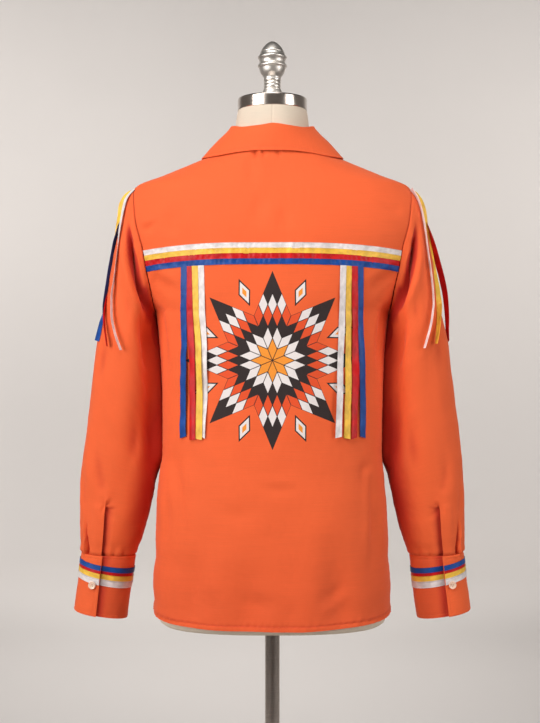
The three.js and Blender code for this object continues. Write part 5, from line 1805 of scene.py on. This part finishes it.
finialProfile = [
    (14.4, 1569.7), (14.4, 1581.4), (13.9, 1582.5), (13.3, 1583.0), (13.3, 1584.3), (12.4, 1585.2),
    (11.8, 1585.8), (12.4, 1587.0), (12.7, 1588.5), (12.4, 1590.1), (11.8, 1591.1), (12.4, 1592.0),
    (12.7, 1593.3), (12.4, 1594.6), (11.9, 1595.4), (12.6, 1596.3), (13.0, 1597.7), (13.1, 1599.1),
    (12.7, 1600.3), (12.6, 1601.1), (13.2, 1602.6), (14.6, 1604.5), (16.0, 1606.2), (17.3, 1608.1),
    (18.2, 1610.0), (18.9, 1612.0), (19.5, 1614.2), (19.9, 1616.2), (20.3, 1616.9), (21.2, 1617.5),
    (21.8, 1618.4), (21.9, 1619.3), (21.6, 1620.3), (20.6, 1621.5), (19.5, 1622.4), (19.1, 1623.5),
    (19.1, 1625.1), (19.4, 1627.0), (20.1, 1628.9), (21.1, 1630.2), (21.7, 1631.2), (21.8, 1632.2),
    (21.4, 1633.2), (20.4, 1634.4), (19.5, 1635.2), (19.0, 1636.4), (18.4, 1638.3), (17.8, 1639.5),
    (17.1, 1639.9), (17.1, 1640.5), (17.4, 1640.9), (17.0, 1641.8), (16.1, 1643.5), (14.9, 1645.4),
    (13.3, 1647.7), (11.3, 1650.0), (9.0, 1652.2), (6.6, 1654.1), (4.0, 1655.5), (1.8, 1656.3),
    (0.4, 1656.5),
]

capProfile = [
    (50.4, 1551.5), (51.6, 1551.6), (52.0, 1552.1), (52.0, 1567.0), (51.8, 1568.2), (51.2, 1569.0),
    (50.2, 1569.35), (48.0, 1569.4), (30.0, 1569.4), (4.0, 1569.4),
]

poleProfile = [
    (10.4, 18.3), (11.0, 18.9), (11.0, 60), (11.0, 400), (11.0, 700), (11.0, 788.9), (10.4, 789.7),
    (3.0, 789.7),
]

baseProfile = [
    (196, 0.0), (198.6, 0.4), (199.6, 1.4), (200, 2.6), (199.8, 4.2), (199.0, 5.6), (197.2, 6.9),
    (194, 7.4), (160, 8.5), (120, 9.5), (80, 11.1), (50, 12.5), (32, 13.6), (25.5, 14.3), (23.6, 15.2),
    (23.0, 16.6), (22.2, 17.6), (20.5, 18.0), (16, 18.0), (4, 18.0),
]


def makeStand():
    placePiece(drawnUp("finialKnob", finialProfile, 96), "finial", brushedNickel)
    placePiece(drawnUp("capPlate", capProfile, 144), "neck_cap", capNickel)
    placePiece(drawnUp("standPole", poleProfile, 64), "pole", poleSteel)
    placePiece(drawnUp("standBase", baseProfile, 180), "base", baseSteel)


makeButtons()
makeForm()
makeStand()
print("buttons, form and stand made")


# stitches

stitchValues = {
    "pitch": 0.0027,
    "length": 2.1,             # this and the radius in millimetres
    "radius": 0.21,
    "sag": 0.00016,            # how far its ends dip into the cloth
    "rise": 0.00006,           # how far it stands off the cloth
}


def makeStitchShape():
    # the corners and faces of one stitch
    half, r = stitchValues["length"] / 2, stitchValues["radius"]
    profile = [(0.45, -1), (0.95, -0.8), (1, 0), (0.95, 0.8), (0.45, 1)]
    shape = drawnUp("stitchShape", [(r * wide, half * high) for wide, high in profile], 6)
    corners = np.array([tuple(vertex.co) for vertex in shape.data.vertices])
    sides = [tuple(face.vertices) for face in shape.data.polygons]
    bpy.data.objects.remove(shape)
    corners[:, 1] -= stitchValues["sag"] * (corners[:, 2] / (half * mm)) ** 2
    return corners, sides


def stitchPiece(name, lines, material):
    # lines are (points, outward normals); the one stitch is repeated along them all
    corners, sides = makeStitchShape()
    pitch = stitchValues["pitch"]
    vertices, faces = [], []
    for points, normals in lines:
        run = runLength(points)
        s = (np.arange(int(run[-1] / pitch)) + 0.5) * pitch

        def at(values, shift=0.0):
            return np.stack([np.interp(s + shift, run, column) for column in values.T], 1)

        ahead = unit(at(points, 1e-4) - at(points, -1e-4))
        up = at(normals)
        up = unit(up - ahead * (up * ahead).sum(1, keepdims=True))
        across = np.cross(ahead, up)
        for centre, *ways in zip(at(points), across, up, ahead):
            faces += [tuple(index + len(vertices) * len(corners) for index in side) for side in sides]
            vertices.append(centre + corners @ np.array(ways))
    obj = newPiece(name, np.concatenate(vertices), faces)
    smoothShade(obj, 60)
    placePiece(obj, None, material)


def bodyLine(face, z, turn, lift=0.0):
    z, turn = together(z, turn)
    return onBody(face, z, turn, lift + stitchValues["rise"]), bodyNormal(face, z, turn)


def liftedLine(surface, *where):
    low, high = surface(*where, stitchValues["rise"]), surface(*where, 0.001)
    return low, unit(high - low)


def collarLine(*where):
    # the collar's outer face is half its thickness away from its middle
    normals = collarNormals[where]
    return collarPoints[where] + normals * (collarValues["thickness"] / 2 + stitchValues["rise"]), normals


def makeStitches():
    v = shirtValues
    lap = v["frontLapRise"]
    hemZ = v["hemZ"] + bodyDetail["hemDepth"]
    edge = float(turnAtEdge(np.array(hemZ))) + 0.02
    turn = np.linspace(edge, math.pi - edge, 400)
    lines = [bodyLine(-1, hemZ + hemRise(hemZ, turn), turn)]
    turn = np.linspace(float(turnAtX(1, hemZ, 0.012)), math.pi - edge, 240)
    level = hemZ + hemRise(hemZ, turn)
    lines.append(bodyLine(1, level, turn, frontRise(bodyPoint(1, hemZ, turn)[..., 0], lap)))
    lines.append(bodyLine(1, level, math.pi - turn))
    z = np.linspace(v["hemZ"] + 0.009, 1.436, 400)
    for x in (0.0105, -0.0115):
        lines.append(bodyLine(1, z, turnAtX(1, z, x), frontRise(x, lap)))
    stitchPiece("bodyStitches", lines, orangeThread)

    lines = [collarLine(slice(2, -2), -6)] + [collarLine(row, slice(24, -6)) for row in (2, -3)]
    stitchPiece("collarStitches", lines, orangeThread)

    inset = cuffValues["topstitch"] / cuffValues["depth"]
    wound = np.linspace(8, 378, 400)
    down = np.linspace(inset, 1 - inset, 100)
    at = np.linspace(sleeveDetail["slitTop"] + 0.12, 11.8, 120)
    for side, sideName in ((1, "right"), (-1, "left")):
        lines = [liftedLine(onCuff, side, 1 - inset, wound), liftedLine(onCuff, side, inset, wound)]
        lines.append(liftedLine(onCuff, side, down, 6.9))
        for x in (0.0052, 0.0138):
            turn = slitTurnAt(at) - x / sleeveDetail["wristGirth"]
            lines.append(liftedLine(onSleeve, side, at, turn))
        stitchPiece(sideName + "SleeveStitches", lines, orangeThread)

    b = bandValues
    x = np.linspace(-b["halfLength"] + 0.003, b["halfLength"] - 0.003, 300)
    for i, colour in enumerate(b["colours"]):
        z = b["topZ"] - i * b["pitch"] - 0.0012 - bandDrop(x)
        line = bodyLine(-1, z, turnAtX(-1, z, x), 0.0012)
        stitchPiece(colour + "BandStitches", [line], ribbonThread[colour])


makeStitches()
print("stitches made")


# stage, lights and camera

stageValues = {
    "floorRadius": 5.0,
    "wallRadius": 7.0,
    "wallHeight": 6.0,
    "colour": (0.76, 0.73, 0.71, 1),
    "worldColour": (1.0, 0.98, 0.96, 1),
    "worldStrength": 0.05,
    "lampColour": (1, 0.97, 0.94),
}

# name, place, what it is aimed at, size, power, how wide its grid lets it spread
lamps = [
    ("leftSoftbox", (-1.93, -1.74, 1.95), (0, 0, 1.60), (1.7, 2.0), 23.2, 98),
    ("rightSoftbox", (2.26, -1.34, 1.66), (0, 0, 1.42), (1.3, 1.9), 10.6, 98),
    ("overheadSoftbox", (-0.2, -1.2, 3.2), (0, 0, 1.40), (1.8, 1.2), 9.6, 100),
    ("wallLampLeft", (-2.6, 2.8, 2.7), (-1.6, 7, 2.7), (1.5, 1.5), 75, 146),
    ("floorLamp", (-0.3, 2.7, 3.3), (-0.3, 3.0, 0.0), (2.4, 1.4), 25, 104),
    ("wallLampRight", (2.6, 2.8, 2.7), (1.6, 7, 2.7), (1.5, 1.5), 59, 146),
]

cameraValues = {
    "lens": 58.76,
    "place": (-0.0035, -1.77, 1.1765),   # level, at chest height, straight behind the shirt
    "reach": 60,
}


def makeStage():
    v = stageValues
    bend = v["wallRadius"] - v["floorRadius"]
    profile = [(0.02, 0.0), (1.0, 0.0), (3.0, 0.0)]
    for a in np.linspace(0, math.pi / 2, 14):
        profile.append((v["floorRadius"] + bend * math.sin(a), bend * (1 - math.cos(a))))
    profile.append((v["wallRadius"], v["wallHeight"]))
    turns = np.linspace(0, 2 * math.pi, 97)
    grid = np.array([[(r * math.cos(a), r * math.sin(a), z - 0.0002) for a in turns] for r, z in profile])
    obj = newPiece("studioFloor", grid.reshape(-1, 3), gridFaces(len(profile), len(turns)))
    smoothShade(obj, 60)
    material, tree, shader = startMaterial("paperSweep", 0.9)
    tone = varied(tree, noise(tree, where(tree), 0.8, 2.0), 0.985, 1.015)
    feed(tree, shader.inputs["Base Color"], toned(tree, v["colour"], tone))
    obj.data.materials.append(material)


def makeLights():
    v = stageValues
    for name, place, aim, size, power, spread in lamps:
        data = bpy.data.lights.new(name, "AREA")
        data.shape = "RECTANGLE"
        data.size, data.size_y = size
        data.energy = power
        data.spread = math.radians(spread)
        data.color = v["lampColour"]
        lamp = addObject(name, data)
        lamp.location = place
        lamp.rotation_euler = (Vector(aim) - Vector(place)).to_track_quat("-Z", "Y").to_euler()
        lamp.visible_camera = False
    world = bpy.data.worlds.new("studioAir")
    world.use_nodes = True
    air = world.node_tree.nodes["Background"].inputs
    air[0].default_value = v["worldColour"]
    air[1].default_value = v["worldStrength"]
    bpy.context.scene.world = world
    bpy.context.scene.view_settings.view_transform = "Standard"


def makeCamera():
    v = cameraValues
    data = bpy.data.cameras.new("studioCamera")
    data.lens = v["lens"]
    data.sensor_width = 36
    data.clip_end = v["reach"]
    camera = addObject("studioCamera", data)
    camera.location = v["place"]
    camera.rotation_euler = (math.pi / 2, 0, 0)
    bpy.context.scene.camera = camera


makeStage()
makeLights()
makeCamera()
print("stage, lights and camera ready")
